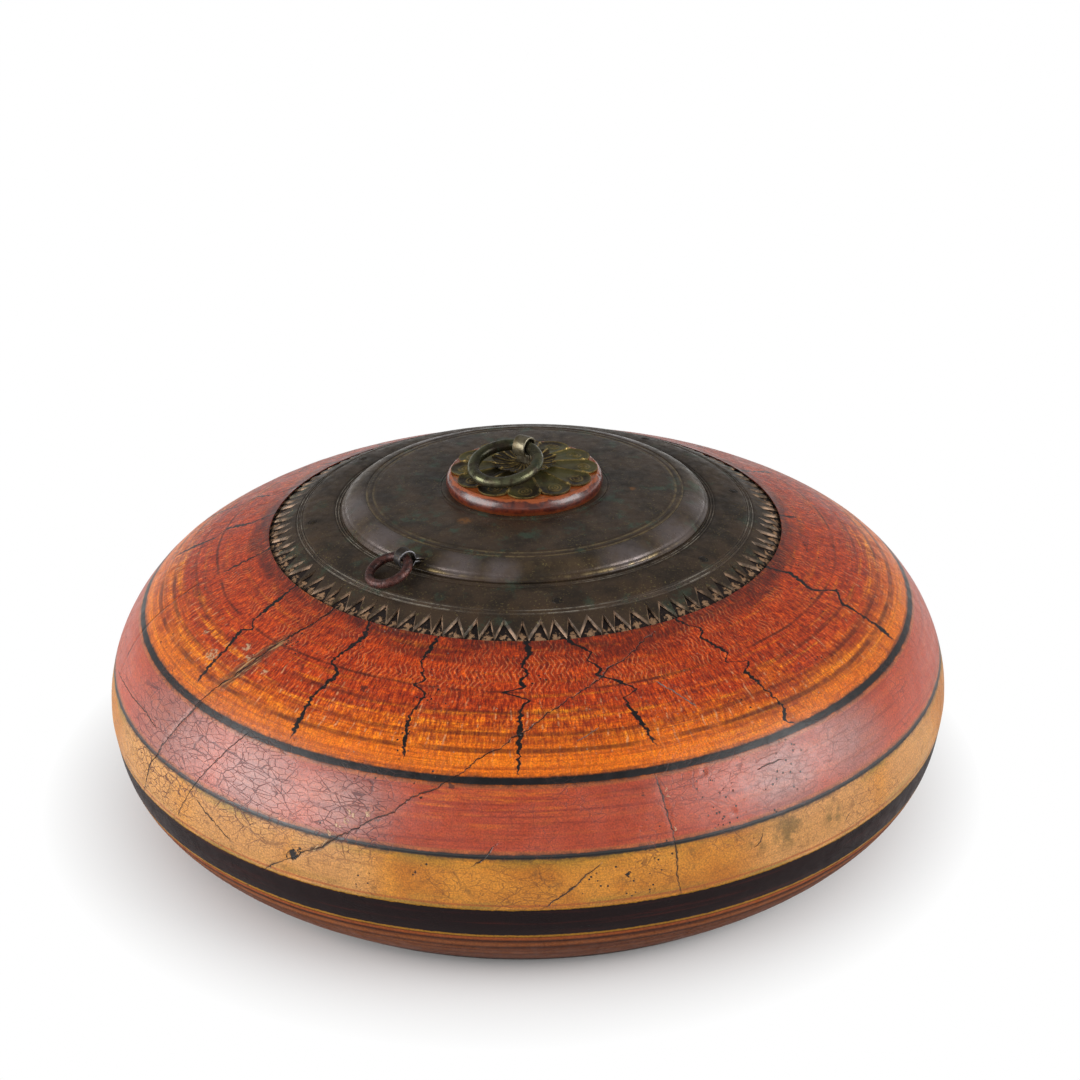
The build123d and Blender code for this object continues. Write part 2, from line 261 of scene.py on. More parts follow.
class CollarSizes(bpy.types.PropertyGroup):
    sheet: length("Sheet", "Thickness of the bronze sheet", 1.2)
    seat: ring_at("Seat edge", "Outer edge of the flat seat", 82, 136)
    engraved: ring_at("Engraved ring", "Where the sheet turns into a straight cone", 101.5, 132.1)
    tip: ring_at("Tooth tips", "Ring of the tooth tips", 113.4, 126.7)
    tooth: length("Tooth depth", "Length of one tooth", 8)
    teeth: IntProperty(name="Teeth", description="Teeth round the collar", default=100)
    mouth: length("Mouth radius", "Radius of the mouth in the wood", 74)
    lip: length("Lip depth", "How far the lip turns down into the mouth", 9)
    nails: IntProperty(name="Nails", description="Flush nails in the collar", default=8)


class LidSizes(bpy.types.PropertyGroup):
    edge: ring_at("Lid edge", "Top of the lid's upright edge", 81.7, 137.2)
    crown: ring_at("Shoulder crown", "Middle of the rounded shoulder", 76.65, 141.7)
    shoulder: ring_at("Shoulder top", "Where the shoulder meets the dome", 70.4, 143.4)
    flat: ring_at("Flat middle", "Edge of the flat middle", 38, 145.3)
    sheet: length("Thickness", "Thickness of the lid's plate", 1.5)
    line_depth: length("Line depth", "Depth of the engraved lines", 0.3)
    boss: ring_at("Boss belly", "The boss where it is widest", 34.8, 149)
    boss_edge: ring_at("Boss shoulder", "Upper edge of the boss", 32.9, 152.3)
    boss_peak: length("Boss peak", "Height of the boss's middle", 155.2)


class RingSizes(bpy.types.PropertyGroup):
    eye: length("Eye height", "Height of the middle staple's eye", 163.8)
    wire: length("Wire", "Radius of the middle ring's wire", 2.65)
    circle: length("Circle", "Radius of the middle ring's centre line", 14.35)
    side_wire: length("Side wire", "Radius of the side ring's wire", 2.05)
    side_circle: length("Side circle", "Radius of the side ring's centre line", 8.75)


class Colours(bpy.types.PropertyGroup):
    orange: colour("Orange", "Lac round the collar, in its middle", "#c03e0a")
    orange_inner: colour("Orange by the teeth", "Lac beside the collar", "#8e2808")
    orange_outer: colour("Orange by the line", "Lac beside the upper black line", "#e0700c")
    rose: colour("Rose", "Lac of the rose band", "#a63a18")
    ochre: colour("Ochre", "Lac of the ochre band", "#b46a10")
    dark: colour("Dark", "Lac of the dark band", "#180a0c")
    base: colour("Base", "Lac of the base", "#7c421a")
    black: colour("Black", "Black lac of the lines and veins", "#0c0a0d")
    wood: colour("Wood", "Bare wood", "#8d6a48")
    bronze: colour("Bronze", "Brown patina of the lid", "#47382b")
    verdigris: colour("Verdigris", "Green patina of the bronze", "#3c4e40")
    brass: colour("Brass", "Brass where it is rubbed bright", "#b59a5e")
    rust: colour("Rust", "Rust of the side ring", "#57332d")
    iron: colour("Iron", "Dark iron of the side staple", "#4a4a4d")


def in_mm(value):
    """A property's metres as millimetres, one number or a pair."""
    return np.array(value) / MM if hasattr(value, "__len__") else value / MM


# Shapes: every surface is a grid of points worked out as whole arrays


def spaced(curve, spacing):
    """The same curve with samples at even distances along it, about spacing apart."""
    run = np.concatenate([[0], np.cumsum(np.hypot(*np.diff(curve, axis=0).T))])
    even = np.linspace(0, run[-1], max(2, int(math.ceil(run[-1] / spacing)) + 1))
    return np.stack([np.interp(even, run, curve[:, 0]), np.interp(even, run, curve[:, 1])], 1)


def curve_through(points, start, end, spacing):
    """The smooth curve through points: cubic pieces over the chord lengths, equal in slope and
    curvature where they meet, leaving in direction start and arriving in direction end."""
    points = np.array(points, float)
    chords = np.hypot(*np.diff(points, axis=0).T)
    knots = np.concatenate([[0], np.cumsum(chords)])
    system, right = np.eye(len(points)), np.zeros_like(points)
    right[0], right[-1] = start, end
    for i in range(1, len(points) - 1):
        before, after = chords[i - 1], chords[i]
        system[i, i - 1 : i + 2] = after, 2 * (before + after), before
        arriving, leaving = points[i] - points[i - 1], points[i + 1] - points[i]
        right[i] = 3 * (arriving * after / before + leaving * before / after)
    slopes = np.linalg.solve(system, right)
    fine = np.linspace(0, knots[-1], 3000)
    piece = np.clip(np.searchsorted(knots, fine, side="right") - 1, 0, len(points) - 2)
    chord = chords[piece][:, None]
    t = (fine[:, None] - knots[piece][:, None]) / chord
    curve = (2 * t**3 - 3 * t**2 + 1) * points[piece] + (3 * t**2 - 2 * t**3) * points[piece + 1]
    curve += chord * ((t**3 - 2 * t**2 + t) * slopes[piece] + (t**3 - t**2) * slopes[piece + 1])
    return spaced(curve, spacing)


def arc_through(start, middle, end, spacing):
    """The circular arc from start through middle to end."""
    a, b, c = (complex(*p) for p in (start, middle, end))
    w = (c - a) / (b - a)
    centre = (b - a) * (w - abs(w) ** 2) / (2j * w.imag) + a
    first, last = np.angle(a - centre), np.angle(c - centre)
    turn = (last - first + math.pi) % TAU - math.pi
    angles = first + turn * np.linspace(0, 1, 200)
    ring = centre + abs(a - centre) * np.exp(1j * angles)
    return spaced(np.stack([ring.real, ring.imag], 1), spacing)


def straight(start, end, spacing):
    """The straight run from start to end."""
    return spaced(np.array([start, end], float), spacing)


def chained(*runs):
    """Runs joined end to end, each shared point kept once."""
    return np.concatenate([run[:-1] for run in runs[:-1]] + [runs[-1]])


def outward(curve):
    """Unit directions square to a section curve, to its right as it is followed."""
    along = np.gradient(curve, axis=0)
    across = np.stack([along[:, 1], -along[:, 0]], 1)
    return across / np.linalg.norm(across, axis=1, keepdims=True)


def around(columns):
    """Even angles once round."""
    return np.arange(columns) * TAU / columns


def revolved(section, angles):
    """Each point of a section, as radius and height, carried round the axis: x and y are the
    radius times cosine and sine of the angle."""
    radius, height = section[:, 0][:, None], section[:, 1][:, None]
    return np.stack(
        [radius * np.cos(angles), radius * np.sin(angles), height + 0 * angles], 2
    )


def carried(path, side, up, across, rise):
    """A closed section carried along a path: at each path point, side times each across value
    plus up times each rise value."""
    return path[:, None] + side[:, None] * across[..., None] + up[:, None] * rise[..., None]


def bell(away, width):
    """A bell curve: 1 at nought, falling to 0.37 at width."""
    return np.exp(-((away / width) ** 2))


def ripple(points, size, seed, axes=(1, 1, 1)):
    """Smooth unevenness from 0 to 1 at each point: the mean of ten sine waves in seeded
    directions, each about size long. An axis marked 0 makes no difference to it."""
    random = np.random.default_rng(seed)
    x, y, z = (points[..., k] * axes[k] for k in range(3))
    waves = zip(random.normal(size=(10, 3)), random.random(10) * TAU, random.random(10))
    total = 0
    for direction, phase, stretch in waves:
        direction = direction / np.linalg.norm(direction) * TAU / (size * (0.7 + 0.8 * stretch))
        total = total + np.sin(direction[0] * x + direction[1] * y + direction[2] * z + phase)
    return 0.5 + total / 12


def sheet_mesh(name, grids, looped):
    """One mesh from one or more grids of points, in millimetres. Columns close round; rows close
    too where looped, or else each end is closed by a fan to the middle of its last row. The
    whole is turned outwards by the sign of its volume."""
    points, quads, fans, offset = [], [], [], 0
    for grid in grids:
        rows, columns = grid.shape[:2]
        index = offset + np.arange(rows * columns).reshape(rows, columns)
        if looped:
            index = np.concatenate([index, index[:1]])
        right = np.roll(index, -1, axis=1)
        quads.append(np.stack([index[:-1], right[:-1], right[1:], index[1:]], 2).reshape(-1, 4))
        points.append(grid.reshape(-1, 3))
        offset += rows * columns
        if not looped:
            points.append(np.stack([grid[0].mean(0), grid[-1].mean(0)]))
            first, last = np.full(columns, offset), np.full(columns, offset + 1)
            fans.append(np.stack([right[0], index[0], first], 1))
            fans.append(np.stack([index[-1], right[-1], last], 1))
            offset += 2
    points, quads = np.concatenate(points), np.concatenate(quads)
    fans = np.concatenate(fans) if fans else np.zeros((0, 3), int)
    triangles = np.concatenate([quads[:, [0, 1, 2]], quads[:, [0, 2, 3]], fans])
    a, b, c = (points[triangles[:, i]] for i in range(3))
    if np.einsum("ij,ij->", a, np.cross(b, c)) < 0:
        quads, fans = quads[:, ::-1], fans[:, ::-1]
    mesh = bpy.data.meshes.new(name)
    mesh.vertices.add(len(points))
    mesh.vertices.foreach_set("co", (points * MM).astype(np.float32).ravel())
    corners = np.concatenate([quads.ravel(), fans.ravel()])
    mesh.loops.add(len(corners))
    mesh.loops.foreach_set("vertex_index", corners.astype(np.int32))
    mesh.polygons.add(len(quads) + len(fans))
    starts = np.concatenate([np.arange(len(quads)) * 4, len(quads) * 4 + np.arange(len(fans)) * 3])
    mesh.polygons.foreach_set("loop_start", starts.astype(np.int32))
    mesh.update(calc_edges=True)
    mesh.validate()
    return mesh


def piece(name, grids, looped, finish, body, slot, *nodes, crease=40, **marks):
    """Makes a mesh of its grids and shows it as a piece of the part: smooth, with edges sharper
    than crease degrees kept, riding on a body, and standing for the nodes named. Each mark is one
    number for each vertex that the finish reads, and nought at a fan's middle. The slot is not
    used."""
    mesh = sheet_mesh(name, grids, looped)
    for mark, values in marks.items():
        column = np.zeros(len(mesh.vertices), np.float32)
        values = np.asarray(values, np.float32).ravel()
        column[: len(values)] = values
        mesh.attributes.new(mark, "FLOAT", "POINT").data.foreach_set("value", column)
    mesh.shade_smooth()
    mesh.set_sharp_from_angle(angle=math.radians(crease))
    mesh.materials.append(finish)
    made = bpy.data.objects.new(name, mesh)
    bpy.context.scene.collection.objects.link(made)
    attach(made, body)
    if nodes:
        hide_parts(*nodes)


def paired_lines(radii, lines, apart, width):
    """How deep pairs of engraved lines cut a section, from 0 to 1: a bell curve at that distance
    on each side of each line."""
    sides = [(line, side) for line in lines for side in (-apart, apart)]
    return np.minimum(sum(bell(radii - line - side, width) for line, side in sides), 1)


def groups(context, *names):
    """The groups of sizes and colours of those names."""
    return [getattr(context.scene, "box_" + name) for name in names]


# The turned profile, shared by the core and the lac bands


def cone_fall(collar):
    """How far the collar's cone drops for each millimetre outwards."""
    inner, tip = in_mm(collar.engraved), in_mm(collar.tip)
    return (inner[1] - tip[1]) / (tip[0] - inner[0])


def down_cone(collar):
    """The direction of the collar's cone in section, outwards."""
    fall = cone_fall(collar)
    return np.array([1, -fall]) / math.hypot(1, fall)


def body_skin(body, collar):
    """The outer skin in section from the base edge up to the collar's rebate, with its length at
    each sample and at each band's edge. It stays a hair inside the solid."""
    tip, widest = in_mm(collar.tip), in_mm(body.widest)
    rebate = np.array([tip[0] + 1.2, tip[1] - cone_fall(collar) * 1.2])
    low = [in_mm(p) for p in (body.base, body.lower_turn, body.dark_foot, body.dark_top)] + [widest]
    high = [widest, in_mm(body.ochre_top), in_mm(body.rose_top), rebate]
    curve = chained(
        curve_through(low, (0.8, 0.6), (0, 1), 0.1),
        curve_through(high, (0, 1), -down_cone(collar), 0.1),
    )
    curve[:, 0] -= 0.06
    run = np.concatenate([[0], np.cumsum(np.hypot(*np.diff(curve, axis=0).T))])
    marks = {}
    for name in ("dark_foot", "dark_top", "ochre_top", "rose_top"):
        place = in_mm(getattr(body, name))
        marks[name] = run[np.argmin(np.hypot(*(curve - place).T))]
    marks["rebate"] = run[-1]
    return curve, run, marks


def lac_depth(run, end, full):
    """Thickness of the lac at each place: full, but thinning to a third at both ends."""
    near_end = np.minimum(run, end - run)
    return full * (0.33 + 0.67 * np.clip(near_end / 6, 0, 1))


def sunk(points):
    """How deep the skin is sunk at each point: a slow unevenness of the turning, a groove of bell
    section along each crack and a bowl at each hole."""
    depth = 0.22 * ripple(points, 60, 3) + 0.10 * ripple(points, 14, 5)
    for normal, offset, middle, reach, width, _ in CRACKS:
        away = np.abs(points @ np.array(normal) - offset)
        near = np.clip((reach - np.linalg.norm(points - middle, axis=-1)) / 8, 0, 1)
        depth = depth + 1.3 * width * near * bell(away, width + 0.5)
    for place, radius in HOLES:
        away = np.linalg.norm(points - place, axis=-1)
        depth = depth + 0.5 * bell(away, radius + 0.4)
    return np.clip(depth, 0, 1.0)


def vein_field(radius, angles):
    """For each row's radius and column's angle, the distance in millimetres to the nearest vein,
    its sign swapped from vein to vein so that it only passes nought on a vein, and the vein's
    width there, which tapers at its ends."""
    signed, width, nearest = None, None, None
    degrees = np.degrees(angles)
    for number, vein in enumerate(VEINS):
        turns, rings = np.array(vein).T
        centre = np.interp(radius, rings, turns)[:, None]
        apart = (degrees - centre + 180) % 360 - 180
        distance = np.radians(apart) * radius[:, None]
        inside = np.minimum(radius - rings[0] + 3, rings[-1] - radius)[:, None]
        own = (1.75 + 0.4 * math.sin(2.3 * number)) * np.clip(inside / 3.5, 0, 1)
        own = own * (0.85 + 0.3 * np.sin(radius / 3.1 + number))[:, None]
        if nearest is None:
            signed, width, nearest = distance, own + 0 * distance, np.abs(distance)
            continue
        closer = np.abs(distance) < nearest
        signed = np.where(closer, distance * (-1) ** number, signed)
        width = np.where(closer, own, width)
        nearest = np.where(closer, np.abs(distance), nearest)
    return signed, width


def stroke_field(points, directions):
    """For each point of the skin, the distance along the skin to the nearest stroke with a sign
    for its side, the stroke's half width there, tapered at both ends, and whether it is pale."""
    nearest = np.full(points.shape[:2], 3.0)
    signed, width, pale = nearest.copy(), 0 * nearest, 0 * nearest
    for path, half, tone in STROKES:
        path = np.array(path, float)
        lengths = np.linalg.norm(np.diff(path, axis=0), axis=1)
        for number, size in enumerate(lengths):
            along = (path[number + 1] - path[number]) / size
            from_start = points - path[number]
            run = from_start @ along
            across = np.cross(along, directions)
            side = np.einsum("ijk,ijk->ij", from_start, across) / np.linalg.norm(across, axis=2)
            beyond = np.maximum(np.maximum(-run, run - size), 0)
            distance = np.hypot(side, beyond) + 9 * (np.linalg.norm(from_start, axis=2) > size + 3)
            placed = lengths[:number].sum() + np.clip(run, 0, size)
            taper = np.clip(np.minimum(placed, lengths.sum() - placed) / 2.5, 0, 1)
            closer = distance < nearest
            nearest = np.where(closer, distance, nearest)
            signed = np.where(closer, side, signed)
            width = np.where(closer, half * taper * (beyond < 1), width)
            pale = np.where(closer, tone, pale)
    return signed, width, pale


# Finishes: one function adds a node, signs of arithmetic join them, the others lay a finish on


def add(tree, kind, *values, out=0, stops=None, **named):
    """Adds one node and gives one of its outputs. Values fill its inputs in order, capitalised
    names fill inputs by name, and small-letter names are settings. A field is linked, a text is a
    colour in hex, and anything else is set."""
    made = tree.nodes.new("ShaderNode" + kind)
    for name, value in named.items():
        if name[0].islower():
            setattr(made, name, value)
    if stops:
        ramp = made.color_ramp.elements
        while len(ramp) < len(stops):
            ramp.new(0.5)
        for element, (position, shade) in zip(ramp, stops):
            element.position, element.color = position, (*shade, 1)
    sockets = list(zip(made.inputs, values))
    sockets += [(made.inputs[n.replace("_", " ")], v) for n, v in named.items() if n[0].isupper()]
    for socket, value in sockets:
        if isinstance(value, Field):
            tree.links.new(value.socket, socket)
        elif value is not None:
            value = linear(value) if isinstance(value, str) else value
            wide = socket.type == "RGBA" and len(value) == 3
            socket.default_value = (*value, 1) if wide else value
    return Field(tree, made.outputs[out])


class Field:
    """A number or colour that varies over the surface: one output of a node. The signs + - * **
    add the nodes that work them out, abs takes the size, and | the larger of two."""

    def __init__(self, tree, socket):
        self.tree, self.socket = tree, socket

    def math(self, operation, other=0.0):
        """The field and another value, or nought, put through one operation."""
        return add(self.tree, "Math", self, other, operation=operation)

    def __add__(self, other):
        return self.math("ADD", other)

    def __sub__(self, other):
        return self.math("SUBTRACT", other)

    def __rsub__(self, other):
        return add(self.tree, "Math", other, self, operation="SUBTRACT")

    def __mul__(self, other):
        return self.math("MULTIPLY", other)

    def __pow__(self, other):
        return self.math("POWER", other)

    def __or__(self, other):
        return self.math("MAXIMUM", other)

    def __abs__(self):
        return self.math("ABSOLUTE")

    def spread(self, low, high, before, after, **named):
        """A change from before to after in proportion, as the field goes from low to high."""
        return add(self.tree, "MapRange", self, low, high, before, after, **named)

    def step(self, low, high, before=0.0, after=1.0):
        """The same change, smooth at both ends."""
        return self.spread(low, high, before, after, interpolation_type="SMOOTHSTEP")

    def band(self, centre, half, soft):
        """1 within half of centre, falling to 0 over soft."""
        return abs(self - centre).step(half, half + soft, 1.0, 0.0)

    def other(self, name):
        """Another output of the same node."""
        return Field(self.tree, self.socket.node.outputs[name])


class Finish:
    """A material while it is laid on: where a point is, in millimetres, and the colour so far. mm
    is the place, radius the distance from the axis, ring the place on a circle of one size that
    goes round with the lathe, and run the length along the turned profile, from the mesh's mark
    of that name, or else the radius."""

    def __init__(self, name, shade, run_mark=None):
        self.made = bpy.data.materials.new(name)
        self.made.use_nodes = True
        self.tree = self.made.node_tree
        self.tree.nodes.clear()
        place = self.add("TexCoord", out="Object")
        self.mm = self.add("VectorMath", place, operation="SCALE", Scale=1 / MM)
        flat = self.add("VectorMath", self.mm, (1, 1, 0), operation="MULTIPLY")
        self.radius = self.add("VectorMath", flat, operation="LENGTH", out="Value")
        unit = self.add("VectorMath", flat, operation="NORMALIZE")
        self.ring = self.add("VectorMath", unit, operation="SCALE", Scale=LATHE_CIRCLE)
        self.run = self.marked(run_mark) if run_mark else self.radius
        self.shade = shade

    def add(self, kind, *values, **named):
        """Adds one node to this finish."""
        return add(self.tree, kind, *values, **named)

    def marked(self, name):
        """The number that the mesh keeps at each vertex under a name."""
        return self.add("Attribute", attribute_name=name, out="Fac")

    def lay(self, colour, *masks, how="MIX"):
        """Lays a colour over the shade so far, by the product of the masks."""
        amount = masks[0]
        for mask in masks[1:]:
            amount = amount * mask
        self.shade = self.add("MixRGB", amount, self.shade, colour, blend_type=how)

    def cloud(self, size, detail=3.0, rough=0.55, place=None, **named):
        """Cloudy noise whose patches are about size millimetres across, from 0 to 1."""
        named = {"Scale": 1 / size, "Detail": detail, "Roughness": rough, **named}
        return self.add("TexNoise", Vector=place or self.mm, **named)

    def wander(self, size, detail, reach):
        """Cloudy noise from -reach to reach."""
        return self.cloud(size, detail).spread(0.0, 1.0, -reach, reach)

    def streaks(self, long, thin, detail=3.0):
        """Streaks left by the lathe: noise stretched to long round the axis and thin along the
        profile, in millimetres."""
        drawn = self.add("VectorMath", self.ring, operation="SCALE", Scale=1 / long)
        level = self.add("CombineXYZ", 0.0, 0.0, self.run * (1 / thin))
        place = self.add("VectorMath", drawn, level, operation="ADD")
        return self.cloud(1.0, detail, 0.6, place)

    def dots(self, spacing, radius, share, patch):
        """Scattered round dots: the middles of a share of the cells of that spacing, where patch
        is."""
        cell = self.add("TexVoronoi", Vector=self.mm, Scale=1 / spacing, feature="F1")
        chosen = cell.other("Color").step(1 - share, 1.01 - share)
        return cell.step(radius / spacing * 0.7, radius / spacing, 1.0, 0.0) * chosen * patch

    def spots(self, places, inner, outer, place=None):
        """1 within inner times the radius of each place, falling to 0 at outer times its radius."""
        inside, place = None, place or self.mm
        for middle, radius in places:
            far = self.add("VectorMath", place, middle, operation="DISTANCE", out="Value")
            spot = far.step(radius * inner, radius * outer, 1.0, 0.0)
            inside = inside | spot if inside else spot
        return inside

    def bent(self, place, size, detail, reach):
        """A place shifted by noise of that size, up to half of reach either way."""
        shift = self.add("TexNoise", Vector=place, Scale=1 / size, Detail=detail, out="Color")
        shift = self.add("VectorMath", shift, (0.5, 0.5, 0.5), operation="SUBTRACT")
        shift = self.add("VectorMath", shift, operation="SCALE", Scale=reach)
        return self.add("VectorMath", place, shift, operation="ADD")

    def craquelure(self, place, cell, width, bend):
        """Fine net of cracks in the lac: the borders between cells of that size, bent by noise."""
        place = self.bent(place, cell * 3.5, 4.0, bend)
        edge = self.add(
            "TexVoronoi", Vector=place, Scale=1 / cell, feature="DISTANCE_TO_EDGE", out="Distance"
        )
        return edge.step(width / cell * 0.4, width / cell, 1.0, 0.0)

    def crack_lines(self, which):
        """Age cracks as thin dark lines: near each one's plane, within its reach, with a wandering
        edge. Gives the line and a wider strip of worn lips beside it."""
        wander = self.wander(11, 2.0, 2.2) + self.wander(2.2, 1.0, 0.8)
        uneven = self.cloud(6, 2.0).spread(0.3, 0.7, 0.3, 2.2)
        line = lips = None
        for normal, offset, middle, reach, half, worn in [CRACKS[i] for i in which]:
            along = self.add("VectorMath", self.mm, normal, operation="DOT_PRODUCT", out="Value")
            away = abs(along - offset + wander)
            near = self.spots([(middle, reach)], (reach - 6) / reach, 1.0)
            thin = (away - uneven * half).step(-0.1, 0.2, 1.0, 0.0) * near
            wide = away.step(worn * 0.4, worn, 1.0, 0.0) * near
            line, lips = (line | thin, lips | wide) if line else (thin, wide)
        return line, lips

    def black_line(self, centre, half, black):
        """A line of black lac round the body, with ragged edges that bleed brown into the bands."""
        place = self.run + self.wander(2.5, 3.0, 0.35)
        bled = self.cloud(6, 5.0).step(0.30, 0.62)
        self.lay("#2e1812", place.band(centre, half, 1.9), bled, 0.7)
        self.lay(black, place.band(centre, half * 0.72, 0.3 + half * 0.4))

    def done(self, roughness, height, **constants):
        """Ends the material: colour and roughness, the height in millimetres as relief, and
        numbers that are the same all over set on the shader itself."""
        relief = self.add("Bump", Strength=1.0, Distance=MM, Height=height)
        shader = self.add(
            "BsdfPrincipled", Base_Color=self.shade, Roughness=roughness, Normal=relief, **constants
        )
        self.shown(shader)
        return self.made

    def shown(self, shader):
        """Joins a shader to the material's output."""
        output = self.tree.nodes.new("ShaderNodeOutputMaterial")
        self.tree.links.new(shader.socket, output.inputs["Surface"])


def worn_lac(lac, which, net, net_colour, cell, rough, specular):
    """Ends a lac band: net of craquelure, fine grain, age cracks with worn lips, strokes, blots,
    chips, worm holes, and all their relief. Which gives the numbers in CRACKS of those that cross
    the band, net how dark its net is and cell how large."""
    squashed = 1.7
    level = lac.add("CombineXYZ", 0.0, 0.0, lac.run * squashed)
    squat = lac.add("VectorMath", lac.ring, level, operation="ADD")
    fine = lac.craquelure(squat, cell, 0.18, cell * 0.8)
    coarse = lac.craquelure(squat, cell * 2.6, 0.26, cell * 1.8)
    crazed = lac.spots(CRAZING_AND_SHEEN, 0.45, 1.0) | lac.spots(LIGHT_CRAZING_AND_SHEEN, 0.45, 1.0) * 0.42
    patches = lac.cloud(30).step(0.46, 0.62, 0.08, 0.6) | crazed
    net_lines = (fine | coarse) * patches * lac.cloud(4).step(0.33, 0.50, 0.3, 1.0)
    lac.lay(net_colour, net_lines, net)
    grain = lac.cloud(0.7)
    speckle = grain.spread(0.3, 0.7, 0.64, 1.34)
    lac.lay(lac.add("CombineColor", speckle, speckle, speckle), 1.0, how="MULTIPLY")
    height = net_lines * -0.06 + grain * 0.03 + lac.cloud(12, 2.0) * 0.25
    bent = lac.bent(lac.mm, 1 / 0.7, 3.0, 4.2)
    chips = lac.spots(CHIPS, 1.0, 1.6, bent) * lac.cloud(1.3).step(0.44, 0.52)
    lac.lay("#c9a27c", chips, 0.85)
    height = height + chips * 0.15
    if which:
        line, lips = lac.crack_lines(which)
        across = CRACKS[1][0]
        along = lac.add("VectorMath", lac.mm, across, operation="DOT_PRODUCT", out="Value")
        strand = lac.add("VectorMath", across, operation="SCALE", Scale=along * 1.1)
        strand = lac.add("VectorMath", lac.mm, (0.13, 0.13, 0.13), strand, operation="MULTIPLY_ADD")
        strand = lac.cloud(1.0, 3.0, 0.5, strand)
        broken_lips = lips * lac.spots(WEAR, 0.5, 1.0)
        flaked = strand.step(0.54, 0.62) * broken_lips
        lac.lay("#543420", lips * 0.12 + broken_lips * 0.62)
        lac.lay("#261a14", strand.step(0.46, 0.36), broken_lips, 0.8)
        lac.lay("#c59f6c", flaked, 0.75)
        lac.lay(SOOT, line, 0.92)
        height = height + line * -0.5 + flaked * 0.12

    width = lac.marked("stroke_width")
    away = abs(lac.marked("stroke") + lac.wander(3.2, 3.0, 0.9))
    drawn = (away - width).step(-0.1, 0.16, 1.0, 0.0) * width.step(0.01, 0.08)
    tone = lac.add("MixRGB", lac.marked("stroke_pale"), SOOT, "#7d7f7c")
    lac.lay(tone, drawn, 0.85)
    worms = lac.cloud(34, 1.0).step(0.64, 0.68) | lac.spots(WORMS, 0.5, 1.0)
    pits = lac.dots(2.1, 0.5, 0.5, worms) | lac.spots(HOLES, 0.8, 1.1, bent)
    lac.lay("#1f1716", lac.spots(BLOTS, 0.6, 1.0, bent), 0.7)
    lac.lay(SOOT, pits)
    height = height - (pits | drawn) * 0.5
    gloss = lac.cloud(5, 4.0).spread(0.3, 0.7, rough - 0.05, rough + 0.09) + net_lines * 0.15
    return lac.done(gloss, height, Specular_IOR_Level=specular)


def combed(lac):
    """Combs the orange band: pale and dark zigzag lines that alternate round the body, broken and
    patchy, and rows of short pale stitches further out."""
    first_row, row, slant, edge = 117.7, 4.1, 1.2, 137.0
    fold = (lac.radius - first_row).math("PINGPONG", row).spread(0.0, row, slant, -slant)
    zigzag = fold * lac.radius.step(edge, edge + 3, 1.0, 0.1)
    x = lac.add("SeparateXYZ", lac.mm)
    angle = x.math("ARCTAN2", x.other("Y"))
    phase = angle * (COMB_LINES / TAU) + zigzag * 0.47 + lac.wander(9, 2.0, 0.8)
    comb = phase.math("PINGPONG", 0.5)
    broken = lac.cloud(3.4, 4.0).step(0.38, 0.54)
    patch = lac.cloud(20).step(0.42, 0.60, 0.12, 1.0)
    cut = broken * patch * lac.radius.step(edge, edge + 4, 1.0, 0.35)
    lac.lay("#6a1a06", comb.step(0.30, 0.5), cut, 0.55)
    lac.lay("#dc8a55", comb.step(0.02, 0.16, 1.0, 0.0), cut, 0.62)
    inner, outer = edge + 4, 168.0
    rows = lac.streaks(14, 4.0).step(0.48, 0.60) * lac.radius.step(inner, inner + 5)
    rows = rows * lac.radius.step(outer - 5, outer, 1.0, 0.0)
    stitch = (phase * 0.4).math("PINGPONG", 0.5).step(0.02, 0.09, 1.0, 0.0)
    lac.lay("#e0a070", stitch, rows, broken, 0.7)


